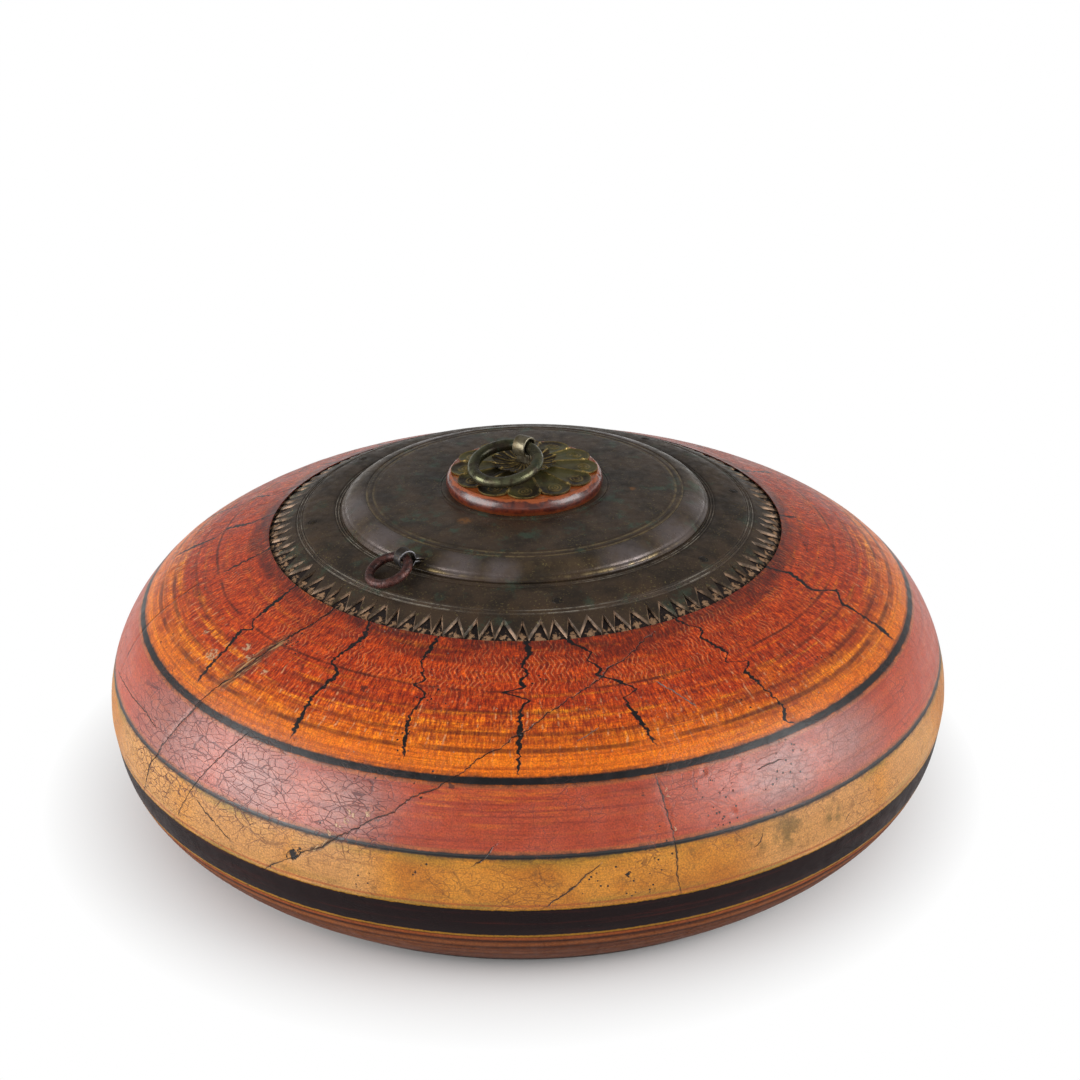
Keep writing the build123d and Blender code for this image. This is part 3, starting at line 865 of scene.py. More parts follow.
def orange_lac(marks, colours):
    """Orange shellac, turned and combed: deep red by the collar and yellow-orange by the black
    line, with dark turned streaks, pale combed zigzags and black veins. Soft satin gloss."""
    lac = Finish("shellac_orange_turned_and_combed", None, "run")
    drift = lac.streaks(45, 7, 4.0).spread(0.25, 0.75, -0.20, 0.20)
    level = lac.run.spread(marks["rose_top"], marks["rebate"], 0.0, 1.0)
    outer = [(0.0, colours.orange_outer), (0.17, colours.orange_outer), (0.42, colours.orange)]
    inner = [(0.80, colours.orange), (1.0, colours.orange_inner)]
    lac.shade = lac.add("ValToRGB", level + drift, stops=outer + inner)
    lac.lay("#8a2408", lac.cloud(7, 6.0, 0.65).step(0.48, 0.66), 0.5)
    outside = level.step(0.35, 0.72, 1.0, 0.35)
    lac.lay("#f08c18", lac.streaks(60, 2.6).step(0.54, 0.70), outside, 0.6)
    lac.lay("#f4760a", lac.spots(GLOW, 0.3, 1.0), level.step(0.1, 0.55, 0.6, 0.0))
    lac.lay("#6c1c06", lac.streaks(75, 1.0, 4.0).step(0.52, 0.66), outside, 0.35)
    lac.lay("#7c260a", lac.streaks(190, 2.7, 2.0).step(0.50, 0.60), outside, 0.35)
    fibre = lac.streaks(0.9, 3.6, 4.0).spread(0.3, 0.7, 0.34, 1.66)
    deep = fibre * lac.cloud(2.6, 5.0, 0.65).spread(0.3, 0.7, 0.54, 1.46)
    fibres = lac.add("CombineColor", deep, deep**1.7, deep**1.5)
    lac.lay(fibres, level.step(0.05, 0.40, 0.20, 0.95), how="MULTIPLY")
    sooty = lac.streaks(0.8, 2.8, 4.0).step(0.52, 0.66)
    lac.lay("#48140a", sooty, level.step(0.15, 0.55, 0.25, 1.0), 0.68)
    combed(lac)

    wiggle = lac.radius + lac.streaks(70, 30).spread(0.0, 1.0, -2.0, 2.0)
    for radius, half, strength in TURNED_LINES:
        worn = lac.streaks(26, 20).step(0.34, 0.56, 0.15, 1.0)
        lac.lay("#431206", wiggle.band(radius, half, 0.8), worn, strength)
    feather = (level + drift * 0.4).step(0.80, 1.0)
    lac.lay("#3a1410", feather, lac.streaks(1.6, 4.0, 4.0).step(0.36, 0.60, 0.25, 1.0), 0.8)
    lac.lay("#93897e", lac.dots(2.6, 0.36, 0.35, lac.cloud(15, 2.0).step(0.44, 0.60)), 0.7)

    width = lac.marked("vein_width")
    jag = (lac.radius + lac.cloud(7) * 14.0).math("PINGPONG", 2.0).spread(0.0, 2.0, -0.5, 0.5)
    away = abs(lac.marked("vein") + lac.wander(1.8, 3.0, 1.1) + jag) - width * 0.5
    lac.lay(colours.black, away.step(-0.15, 0.2, 1.0, 0.0), width.step(0.02, 0.25))
    lac.black_line(marks["rose_top"] + 0.5, 1.6, colours.black)
    return worn_lac(lac, (0, 1, 2), 0.30, "#5a1c0c", 3.4, 0.36, 0.5)


def rose_lac(marks, colours):
    """Dusty rose shellac, turned and waxed: faint orange streaks, fine brown craquelure, a broad
    soft shine, and a pale mauve sheen of the side lights painted into the colour on its sides."""
    lac = Finish("shellac_rose_turned_and_waxed", colours.rose, "run")
    lac.lay("#b2482a", lac.cloud(30, 4.0).step(0.35, 0.68))
    # A pale mauve sheen painted into the colour where the side lights shine
    lac.lay("#8d645d", lac.spots(CRAZING_AND_SHEEN + LIGHT_CRAZING_AND_SHEEN, 0.1, 1.0), 0.66)
    lac.lay("#782414", lac.streaks(60, 1.2, 4.0).step(0.50, 0.72), 0.7)
    smeared = lac.spots(SMEARS, 0.3, 1.0) | 0.18
    lac.lay("#cf661a", lac.streaks(32, 2.4, 4.0).step(0.46, 0.62), smeared, 0.8)
    for edge, half in (("rose_top", 2.0), ("ochre_top", 1.7)):
        lac.lay("#b4622a", lac.run.band(marks[edge], half, 1.2), 0.7)
    lac.black_line(marks["rose_top"] + 0.5, 1.6, colours.black)
    lac.black_line(marks["ochre_top"], 0.85, colours.black)
    return worn_lac(lac, (0, 1, 2, 3, 6, 7, 8), 0.95, "#5a1a18", 4.6, 0.34, 0.8)


def ochre_lac(marks, colours):
    """Ochre shellac over orpiment, turned and waxed: olive at its edges, brown craquelure, and a
    pale sheen of the side lights painted into the colour on its sides.
    """
    lac = Finish("shellac_ochre_turned_and_waxed", colours.ochre, "run")
    lac.lay("#d08726", lac.cloud(26, 4.0).step(0.35, 0.68))
    # A pale sheen painted into the colour where the side lights shine
    lac.lay("#c6955e", lac.spots(OCHRE_SHEEN, 0.4, 1.0), 0.6)
    middle = (marks["dark_top"] + marks["ochre_top"]) / 2
    half = (marks["ochre_top"] - marks["dark_top"]) / 2
    rim = lac.run.band(middle, half * 0.35, half * 0.65)
    lac.lay("#8c7220", lac.streaks(30, 5, 4.0).step(0.42, 0.62), 1.05 - rim, 0.75)
    lac.lay("#8a4c16", lac.streaks(40, 0.9, 4.0).step(0.52, 0.72), 0.35)
    lac.lay("#6e4818", lac.cloud(9, 6.0, 0.65).step(0.58, 0.70), 0.55)
    lac.lay("#5c4a1a", lac.spots(OLIVE, 0.2, 1.0), lac.cloud(5, 5.0).step(0.40, 0.60), 0.7)
    lac.lay("#a04a14", lac.run.band(marks["dark_top"] + 1.9, 0.35, 0.4), 0.65)
    lac.black_line(marks["ochre_top"], 0.85, colours.black)
    return worn_lac(lac, (0, 1, 3, 4, 5, 6, 7, 8), 0.95, "#54260c", 4.0, 0.35, 0.5)


def dark_lac(marks, colours):
    """Near-black brown shellac, turned: a little red shows through, ochre rubs in at its edges."""
    lac = Finish("shellac_black_brown_turned", colours.dark, "run")
    lac.lay("#3c1410", lac.streaks(60, 2, 5.0).step(0.50, 0.72), 0.7)
    ragged = lac.run + lac.wander(2.2, 3.0, 0.5)
    for edge, half in (("dark_top", 0.35), ("dark_foot", 0.45)):
        lac.lay("#a0701e", ragged.band(marks[edge], half, 0.25), 0.9)
    return worn_lac(lac, (0, 1, 3, 7, 8), 0.5, "#0c0607", 3.0, 0.38, 0.14)


def base_lac(marks, colours):
    """Orange-brown shellac of the foot, turned: dark turned lines, and darker towards the bottom
    edge with a ragged border.
    """
    lac = Finish("shellac_brown_turned", "#54260e", "run")
    lac.lay(colours.base, lac.streaks(60, 1.8, 5.0).step(0.35, 0.70))
    for below, half, tone in FOOT_LINES:
        lac.lay(tone, lac.run.band(marks["dark_foot"] - below, half, 0.6), 0.8)
    lac.lay("#a0701e", lac.run.band(marks["dark_foot"], 0.5, 0.3), 0.9)
    # Darker towards the bottom edge, with a ragged border
    edge = lac.run + lac.cloud(4, 6.0, 0.65).spread(0.3, 0.7, -5.0, 5.0)
    lac.lay("#22110a", edge.step(4.0, 11.0, 1.0, 0.0), 0.85)
    return worn_lac(lac, (), 0.5, "#200c06", 3.4, 0.48, 0.12)


def bare_wood(colours, teeth):
    """Bare turned hardwood with gesso dust: warm brown rings inside and below, pale and crumbly
    where the collar's rebate is cut, most of all between its teeth, with dark crumbs, and painted
    near black as shade towards the notches' inner ends and under the teeth. Matt."""
    wood = Finish("hardwood_turned_bare", colours.wood)
    grain = wood.add("VectorMath", wood.mm, (0.03, 0.9, 0.9), operation="MULTIPLY")
    grain = wood.cloud(2.0, 4.0, 0.6, grain)
    wood.lay("#5f4026", grain.step(0.35, 0.65))
    turned = wood.streaks(90, 1.1)
    wood.lay("#4a2f1b", turned.step(0.5, 0.7), 0.5)
    x = wood.add("SeparateXYZ", wood.mm)
    turn = x.other("Y").math("ARCTAN2", x) * (teeth / TAU) - FIRST_TOOTH * teeth / 360
    notch = turn.math("PINGPONG", 0.5).spread(0.0, 0.5, -0.16, 0.10)
    # Dark towards the notches' inner ends and under the teeth: painted shade, with dark crumbs;
    # pale gesso dust in the notches' middles
    dust_and_shade = wood.radius.step(108.0, 111.0, -0.2, 0.06) + notch
    gesso = (wood.cloud(1.8, 4.0) + dust_and_shade).step(0.50, 0.64)
    cut = x.other("Z").step(REBATE[1], REBATE[1] + 1) * wood.radius.step(REBATE[0], REBATE[0] + 2)
    wood.lay(wood.add("MixRGB", gesso, "#1c120f", "#9a785a"), cut)
    relief = (grain + turned) * 0.12 + gesso * cut * 0.3
    return wood.done(0.75, relief, Specular_IOR_Level=0.3)


def patinated_bronze(name, colours, bright_metal=0.85, tooth=None, highlight_ring=None):
    """Old bronze under a patina: a dark ground clouded with brown and green, and bright where the
    mark called worn is near 1, in the tone tooth on the collar's teeth. That mark is wear, and on
    the teeth's bent edges and the lid's shoulder also a painted highlight. Broken sheen; on the
    ring of that radius, half width and softness, a grey highlight is painted in patches, and the
    metal is smoother and more metallic there."""
    ground, green, bright, rough, metal = METALS[name]
    ground, bright = (getattr(colours, tone, tone) for tone in (ground, bright))
    bronze = Finish(name, ground)
    bronze.lay("#312820", bronze.cloud(16, 6.0, 0.6).step(0.38, 0.64))
    brown = bronze.cloud(11, 6.0, 0.6, W=4.0, noise_dimensions="4D")
    bronze.lay("#54402c", brown.step(0.50, 0.68), 0.4)
    patch = bronze.cloud(12, 7.0, 0.68, W=9.0, noise_dimensions="4D")
    bronze.lay(colours.verdigris, patch.step(0.54, 0.64), green)
    near = bronze.cloud(9, 4.0, W=2.0, noise_dimensions="4D").step(0.42, 0.62, 0.2, 0.7)
    bronze.lay("#7d7048", bronze.cloud(0.9, 4.0).step(0.58, 0.68), near)
    spill = bronze.spots(STAINS, 0.3, 1.0) * bronze.cloud(2, 4.0).step(0.35, 0.6)
    bronze.lay("#8a5c30", spill, 0.7)
    if tooth:
        bright = bronze.add("MixRGB", bronze.radius.step(103.0, 104.0), bright, tooth)
    rubbed = bronze.marked("worn") * bronze.cloud(3.4, 4.0).step(0.34, 0.58, 0.12, 1.0)
    bronze.lay(bright, rubbed)
    height = bronze.streaks(25, 0.5) * 0.03 + bronze.cloud(1.3, 4.0) * 0.07 + bronze.cloud(7) * 0.2
    gloss = bronze.cloud(4, 5.0).spread(0.3, 0.7, rough - 0.1, rough + 0.14)
    if highlight_ring:
        # A grey highlight painted in patches on the shoulder's ring
        painted_sheen = bronze.radius.band(*highlight_ring) * bronze.spots(SHEEN_SPOTS, 0.1, 1.0)
        painted_sheen = painted_sheen * bronze.cloud(5, 5.0).step(0.3, 0.6, 0.5, 1.0)
        bronze.lay("#847a7a", painted_sheen, 0.6)
        gloss = gloss - painted_sheen * 0.04
        metal = painted_sheen * 0.35 + metal
    metallic = rubbed * bright_metal + (1.0 - rubbed) * metal
    return bronze.done(gloss, height, Metallic=metallic, Specular_IOR_Level=0.3)


def rusty_iron(name, ground, deep, rough):
    """Forged wrought iron: red-brown rust rubbed smooth on its crests, dark in its pits."""
    iron = Finish(name, ground)
    iron.lay(deep, iron.cloud(2.4, 5.0).step(0.35, 0.65))
    iron.lay("#7a4638", iron.cloud(4.5, 4.0).step(0.56, 0.70), 0.6)
    gloss = iron.cloud(2.0).spread(0.3, 0.7, rough - 0.1, rough + 0.15)
    return iron.done(gloss, iron.cloud(1.4, 5.0) * 0.35, Metallic=0.35)


def boss_lac():
    """Old red-brown shellac on the boss, turned: glossy dark side, rubbed down to orange on top
    and at its foot."""
    lac = Finish("shellac_red_brown_glossy", "#42140c")
    height = lac.add("SeparateXYZ", lac.mm, out="Z")
    level = height + lac.cloud(4.5, 6.0, 0.6).spread(0.25, 0.75, -0.8, 0.8)
    top, foot = 151.8, 146.2
    lac.lay("#6c2a14", lac.cloud(3.5, 6.0, 0.65).step(0.4, 0.62))
    lac.lay("#98491c", level.step(top - 0.6, top))
    lac.lay("#7e3e1e", level.step(foot, foot + 1, 0.65, 0.0))
    lac.lay("#2a0f0a", lac.cloud(1.8, 5.0, 0.6).step(0.58, 0.66), 0.3)
    return lac.done(0.32, lac.cloud(5) * 0.12, Coat_Weight=0.8, Coat_Roughness=0.2)


# Operators: one for each piece or group of like pieces


class TOBACCO_OT_wood_core(bpy.types.Operator):
    """Builds the hollow wooden vessel under the lac"""

    bl_idname = "tobacco_box.wood_core"
    bl_label = "Wooden core"

    def execute(self, context):
        body, collar, colours = groups(context, "body", "collar", "colours")
        curve, run, _ = body_skin(body, collar)
        depth = lac_depth(run, run[-1], in_mm(body.lac)) + 0.1
        under_lac = (curve - outward(curve) * depth[:, None])[::24]
        sheet, mouth = in_mm(collar.sheet), in_mm(collar.mouth)
        seat, engraved = in_mm(collar.seat) - (0, sheet), in_mm(collar.engraved) - (0, sheet)
        rebate = curve[-1] - (0, sheet)
        foot = (mouth, in_mm(collar.seat)[1] - in_mm(collar.lip) - 6)
        floor_edge = (132.8, 12)
        hollow = [foot, (120, 110), (163.9, 85.2), (178, 55), (162.3, 24.8), floor_edge]
        section = chained(
            straight((1, 0), under_lac[0], 8),
            under_lac,
            straight(under_lac[-1], rebate, 0.6),
            straight(rebate, engraved, 0.9),
            curve_through([seat, engraved], (1, 0), down_cone(collar), 1.5)[::-1],
            straight(seat, (mouth, seat[1]), 3),
            straight((mouth, seat[1]), foot, 4),
            curve_through(hollow, (0.6, -0.8), (-1, -0.1), 6),
            straight(floor_edge, (1, floor_edge[1]), 6),
        )
        grid = revolved(section, around(480))
        bed = (section[:, 0] > REBATE[0]) & (section[:, 1] > REBATE[1])
        grid[..., 2] -= np.where(bed[:, None], 0.08 + 0.3 * ripple(grid, 2.5, 8), 0)
        node = ("box", "lacquered_wood", "wooden_body")
        piece("wood_core", [grid], False, bare_wood(colours, collar.teeth), *node)
        return {"FINISHED"}


class TOBACCO_OT_lac_bands(bpy.types.Operator):
    """Builds the five turned bands of lac"""

    bl_idname = "tobacco_box.lac_bands"
    bl_label = "Lac bands"

    def execute(self, context):
        body, collar, colours = groups(context, "body", "collar", "colours")
        curve, run, marks = body_skin(body, collar)
        lac, row = in_mm(body.lac), in_mm(body.row)
        side, angles = outward(curve), around(body.columns)
        under_line = marks["rose_top"] - 1.3
        bands = [
            ("lac_base", 0.0, marks["dark_foot"], base_lac),
            ("lac_dark", marks["dark_foot"], marks["dark_top"], dark_lac),
            ("lac_ochre", marks["dark_top"], marks["ochre_top"], ochre_lac),
            ("lac_rose", marks["ochre_top"], under_line, rose_lac),
            ("lac_orange", under_line, marks["rebate"], orange_lac),
        ]
        for name, low, high, finish in bands:
            front = int((high - low) / row) + 2
            back = np.linspace(high, low, max(3, int((high - low) / 9)))
            both = np.concatenate([np.linspace(low, high, front), back])
            section, across = (
                np.stack([np.interp(both, run, line[:, k]) for k in (0, 1)], 1)
                for line in (curve, side)
            )
            depth = lac_depth(both, run[-1], lac)[:, None] + np.zeros(len(angles))
            ends = np.clip(np.minimum(both, run[-1] - both) / 3, 0, 1)[:, None]
            depth[:front] = sunk(revolved(section[:front], angles)) * ends[:front]
            skin, directions = revolved(section, angles), revolved(across, angles)
            fields = stroke_field(skin, directions)
            drawn = dict(zip(("stroke", "stroke_width", "stroke_pale"), fields))
            if finish is orange_lac:
                drawn["vein"], drawn["vein_width"] = vein_field(section[:, 0], angles)
            grids = [skin - directions * depth[..., None]]
            drawn["run"] = both[:, None] + 0 * angles
            made = finish(marks, colours)
            piece(name, grids, True, made, "box", "lacquered_wood", **drawn)
        return {"FINISHED"}


class TOBACCO_OT_collar(bpy.types.Operator):
    """Builds the toothed bronze collar and its flush nails"""

    bl_idname = "tobacco_box.collar"
    bl_label = "Toothed collar"

    def execute(self, context):
        collar, colours = groups(context, "collar", "colours")
        sheet, mouth = in_mm(collar.sheet), in_mm(collar.mouth)
        seat, engraved, tip = in_mm(collar.seat), in_mm(collar.engraved), in_mm(collar.tip)
        fall = cone_fall(collar)
        bend = curve_through([seat, engraved], (1, 0), down_cone(collar), 0.2)

        def surface(radius):
            """Height of the collar's outer face at a radius."""
            flat = np.interp(radius, bend[:, 0], bend[:, 1])
            return np.where(radius > engraved[0], engraved[1] - fall * (radius - engraved[0]), flat)

        # The teeth, each edge in four steps, in slightly uneven widths and depths
        number, turn = np.arange(collar.teeth), TAU / collar.teeth
        first = math.radians(FIRST_TOOTH)
        tips = first + turn * (number + 0.16 * np.sin(2.4 * number))
        roots = first + turn * (number + 0.5 + 0.16 * np.sin(1.7 * number))
        depth = in_mm(collar.tooth) * (1 + 0.08 * np.sin(3.1 * number))
        corners = np.stack([tips, roots], 1).ravel()
        reach = np.stack([tip[0] + 0 * depth, tip[0] - depth], 1).ravel()
        corner = np.stack([reach * np.cos(corners), reach * np.sin(corners)], 1)
        share = np.arange(4)[None, :, None] / 4
        following = np.roll(corner, -1, axis=0)
        outline = (corner[:, None] * (1 - share) + following[:, None] * share).reshape(-1, 2)
        angles = np.arctan2(outline[:, 1], outline[:, 0])
        plain, inner = 102.5, mouth - sheet
        beside = np.array([-0.85, -0.5, -0.22, 0, 0.22, 0.5, 0.85])
        near_lines = [line + beside for line in COLLAR_LINES]
        radii = np.unique(np.concatenate([np.arange(inner, plain, 1.3), [plain], *near_lines]))
        radii = radii[(radii >= inner) & (radii <= plain)]
        cut = 0.3 * paired_lines(radii, COLLAR_LINES, 0.5, 0.25)
        top = revolved(np.stack([radii, surface(radii) - cut], 1), angles)
        circle = plain * np.stack([np.cos(angles), np.sin(angles)], 1)
        bevel = outline * (1 - 1.5 / np.linalg.norm(outline, axis=1, keepdims=True))
        fraction = np.array([0.25, 0.5, 0.75, 1.0])[:, None, None]
        edges = [bevel * 0.85 + outline * 0.15, outline, outline, outline]
        teeth = np.concatenate([circle * (1 - fraction) + bevel * fraction, np.stack(edges)])
        distance = np.linalg.norm(teeth, axis=2)
        lowered = np.array([0, 0, 0, 0, 0.15, 0.9, 1.0, sheet])[:, None]
        curl = 0.25 * np.sin(np.repeat(number, 8) * 2.7) * np.clip(distance - 106, 0, 9) / 9
        height = surface(distance) - lowered - np.abs(curl)
        teeth = np.concatenate([teeth, height[..., None]], 2)
        under_radii = np.array([plain, 96, 90, seat[0], mouth])
        under = np.stack([under_radii, surface(under_radii) - sheet], 1)
        foot, ease = seat[1] - in_mm(collar.lip), 0.4
        lip = [
            (mouth, foot + ease),
            (mouth - 0.3, foot),
            (inner + 0.3, foot),
            (inner, foot + ease),
            (inner, MOUTH_HEIGHTS[0]),
        ]
        lip = revolved(np.array(lip), angles)
        grid = np.concatenate([top, teeth, revolved(under, angles), lip])
        worn = np.zeros(grid.shape[:2])
        rubbed = sum(bell(radii - line, 0.2) for line in COLLAR_LINES)
        shine = np.clip(2.2 * ripple(top, 34, 17, (1, 1, 0)) - 0.55, 0.15, 1)
        worn[: len(radii)] = np.minimum(rubbed, 1)[:, None] * shine
        # The teeth's bent edges take the bright tone: worn metal, and a pale highlight painted on
        # them
        flank_highlight = 0.55 + 0.45 * np.sin(np.arange(len(angles)) * 1.3)
        edge_row = len(radii) + 4
        worn[edge_row] = 0.2 * flank_highlight
        worn[edge_row + 1 : edge_row + 3] = flank_highlight
        worn[edge_row + 3] = 0.2
        edge_highlight_tone = {"bright_metal": 0.1, "tooth": "#cda88a"}
        finish = patinated_bronze("bronze_sheet_brown_patina", colours, **edge_highlight_tone)
        node = ("box", "dark_bronze", "toothed_collar")
        piece("collar_bronze", [grid[::-1]], True, finish, *node, crease=35, worn=worn[::-1])

        place, after = (bend[k] for k in (round(0.66 * (len(bend) - 1)), int(0.68 * len(bend))))
        lean = math.atan2(place[1] - after[1], after[0] - place[0])
        heads = []
        for turn in math.radians(FIRST_NAIL) + around(collar.nails):
            centre = np.array([place[0] * math.cos(turn), place[0] * math.sin(turn), place[1]])
            tilt = Matrix.Rotation(turn, 4, "Z") @ Matrix.Rotation(lean, 4, "Y")
            local = revolved(np.array(NAIL_SECTION), around(36))
            heads.append(set_down(local, tilt) + centre)
        finish = patinated_bronze("iron_nail_dark", colours)
        node = ("box", "nail_iron", "collar_nails")
        piece("nail_heads", heads, False, finish, *node, worn=np.zeros(1))
        return {"FINISHED"}


class TOBACCO_OT_lid(bpy.types.Operator):
    """Builds the lid's plate with its engraved lines, and the locating band under it"""

    bl_idname = "tobacco_box.lid"
    bl_label = "Lid"

    def execute(self, context):
        lid, collar, colours = groups(context, "lid", "collar", "colours")
        edge, crown, shoulder = in_mm(lid.edge), in_mm(lid.crown), in_mm(lid.shoulder)
        flat, sheet, seat = in_mm(lid.flat), in_mm(lid.sheet), in_mm(collar.seat)
        foot = seat[1] + 0.3
        drop, reach = flat[1] - shoulder[1], shoulder[0] - flat[0]
        bow = (reach**2 + drop**2) / (2 * drop)
        dome = (flat[0] + reach / 2, flat[1] - bow + math.sqrt(bow**2 - (reach / 2) ** 2))
        rim, under_boss = edge - (0, 0.25), (33, flat[1])
        top = chained(
            straight((edge[0], foot), rim, 0.4),
            arc_through(rim, crown, shoulder, 0.35),
            arc_through(shoulder, dome, flat, 0.5),
            straight(flat, under_boss, 0.5),
            straight(under_boss, (1, flat[1]), 4),
        )
        radii = top[:, 0]
        fillet = bell(radii - 80.2, 0.4) * (top[:, 1] > edge[1] - 0.2)
        cut = paired_lines(radii, LID_LINES, 0.55, 0.3)
        top[:, 1] -= in_mm(lid.line_depth) * cut + 0.35 * fillet
        ceiling, inside = (flat[0], flat[1] - sheet), shoulder - (0.5, sheet)
        under = chained(
            straight((1, ceiling[1]), ceiling, 9),
            straight(ceiling, inside, 8),
            arc_through(inside, crown - (1.1, sheet), (edge[0] - 2, foot), 1.5),
        )
        section, angles = np.concatenate([under, top]), around(672)
        grid = revolved(section, angles)
        plan = (1, 1, 0)
        dents = 0.22 * ripple(grid, 30, 11, plan) + 0.06 * ripple(grid, 8, 12, plan)
        is_top = np.arange(len(section)) >= len(under) + 4
        shine = np.clip(2.2 * ripple(grid, 30, 19, plan) - 0.5, 0.2, 1)
        golden = np.clip(3.2 * ripple(grid, 7, 23, plan) - 1.1, 0.1, 1)
        grid[..., 2] -= dents * is_top[:, None]
        radius, degrees = section[:, 0], np.degrees(angles)
        lines = sum(bell(radius - line, 0.3) for line in LID_LINES[:2]) * is_top
        golden = golden * (0.05 + 1.0 * bell(degrees - 303, 17) + 1.4 * bell(degrees - 243, 8))
        foot_wear = (bell(radius - 81.1, 0.5) * is_top)[:, None]
        # A faint highlight painted all round the shoulder's crown
        crown_highlight = (0.06 * bell(radius - SHEEN_RING[0], 3.2) * is_top)[:, None]
        worn = np.minimum(0.65 * lines[:, None] * shine + foot_wear * golden + crown_highlight, 1)
        finish = patinated_bronze(
            "bronze_cast_turned_brown_patina", colours, highlight_ring=SHEEN_RING
        )
        node = ("lid", "dark_bronze", "lid_plate")
        piece("lid_bronze", [grid], False, finish, *node, worn=worn)

        outer = in_mm(collar.mouth) - in_mm(collar.sheet) - 0.4
        inner = outer - in_mm(collar.sheet)
        low, high, ease = seat[1] - 8, shoulder[1] - sheet - 0.2, 0.3
        outside = [(outer - ease, low), *((outer, z) for z in (low + ease, *MOUTH_HEIGHTS, high))]
        inside = [(inner, z) for z in (high + 0.1, *MOUTH_HEIGHTS[::-1], low + ease)]
        section = np.array([(inner + ease, low), *outside, *inside])
        worn = np.array([1, 1, 0.6, 0, 0, 0, 0, 0, 0, 0.5])[:, None] + np.zeros(360)
        finish = patinated_bronze("bronze_strip_rubbed", colours)
        node = ("lid", "dark_bronze", "lid_flange")
        piece("lid_band", [revolved(section, around(360))], True, finish, *node, worn=worn)
        return {"FINISHED"}


class TOBACCO_OT_boss(bpy.types.Operator):
    """Builds the turned and lacquered boss on the lid"""

    bl_idname = "tobacco_box.boss"
    bl_label = "Boss"

    def execute(self, context):
        (lid,) = groups(context, "lid")
        flat, belly, edge = in_mm(lid.flat), in_mm(lid.boss), in_mm(lid.boss_edge)
        peak = in_mm(lid.boss_peak)
        foot, rim = (belly[0] - 0.8, flat[1] - 0.2), edge - (1.1, -0.08)
        under_petals = (26, edge[1] + (peak - edge[1]) * (1 - 26 / edge[0]))
        section = chained(
            straight((1, foot[1]), foot, 4),
            arc_through(foot, belly, edge, 0.3),
            curve_through([edge, rim], (-0.35, 0.94), (-1, 0.09), 0.2),
            straight(rim, under_petals, 0.4),
            straight(under_petals, (1, peak - 0.1), 3),
        )
        grid = revolved(section, around(480))
        near_edge = bell(np.hypot(*(section - edge).T), 1.6)[:, None]
        chips = np.clip(ripple(grid, 5, 21) - 0.55, 0, 1) * 1.3 * near_edge
        sink = chips + 0.18 * ripple(grid, 9, 22) * (section[:, 1] > foot[1] + 0.3)[:, None]
        grid[..., 2] -= sink * 0.6
        grid[..., :2] *= 1 - sink[..., None] * 0.6 / np.maximum(section[:, 0], 5)[:, None, None]
        piece("boss_turned", [grid], False, boss_lac(), "lid", "lacquered_boss", "handle_boss")
        return {"FINISHED"}


def petal_reach(angles, tip, valley, turn):
    """Radius of a twelve-petalled outline at each angle, and the angle from its petal's middle:
    each petal's edge is the circle through its tip and its two valleys."""
    off = (angles - turn + HALF_PETAL) % (2 * HALF_PETAL) - HALF_PETAL
    corner = valley * np.array([math.cos(HALF_PETAL), math.sin(HALF_PETAL)])
    sagitta = tip - corner[0]
    circle = (corner[1] ** 2 + sagitta**2) / (2 * sagitta)
    centre = tip - circle
    return centre * np.cos(off) + np.sqrt(circle**2 - (centre * np.sin(off)) ** 2), off


def over_plan(radius, angles, height):
    """Points at each radius, angle and height: x and y are the radius times cosine and sine."""
    return np.stack([radius * np.cos(angles), radius * np.sin(angles), height], 2)


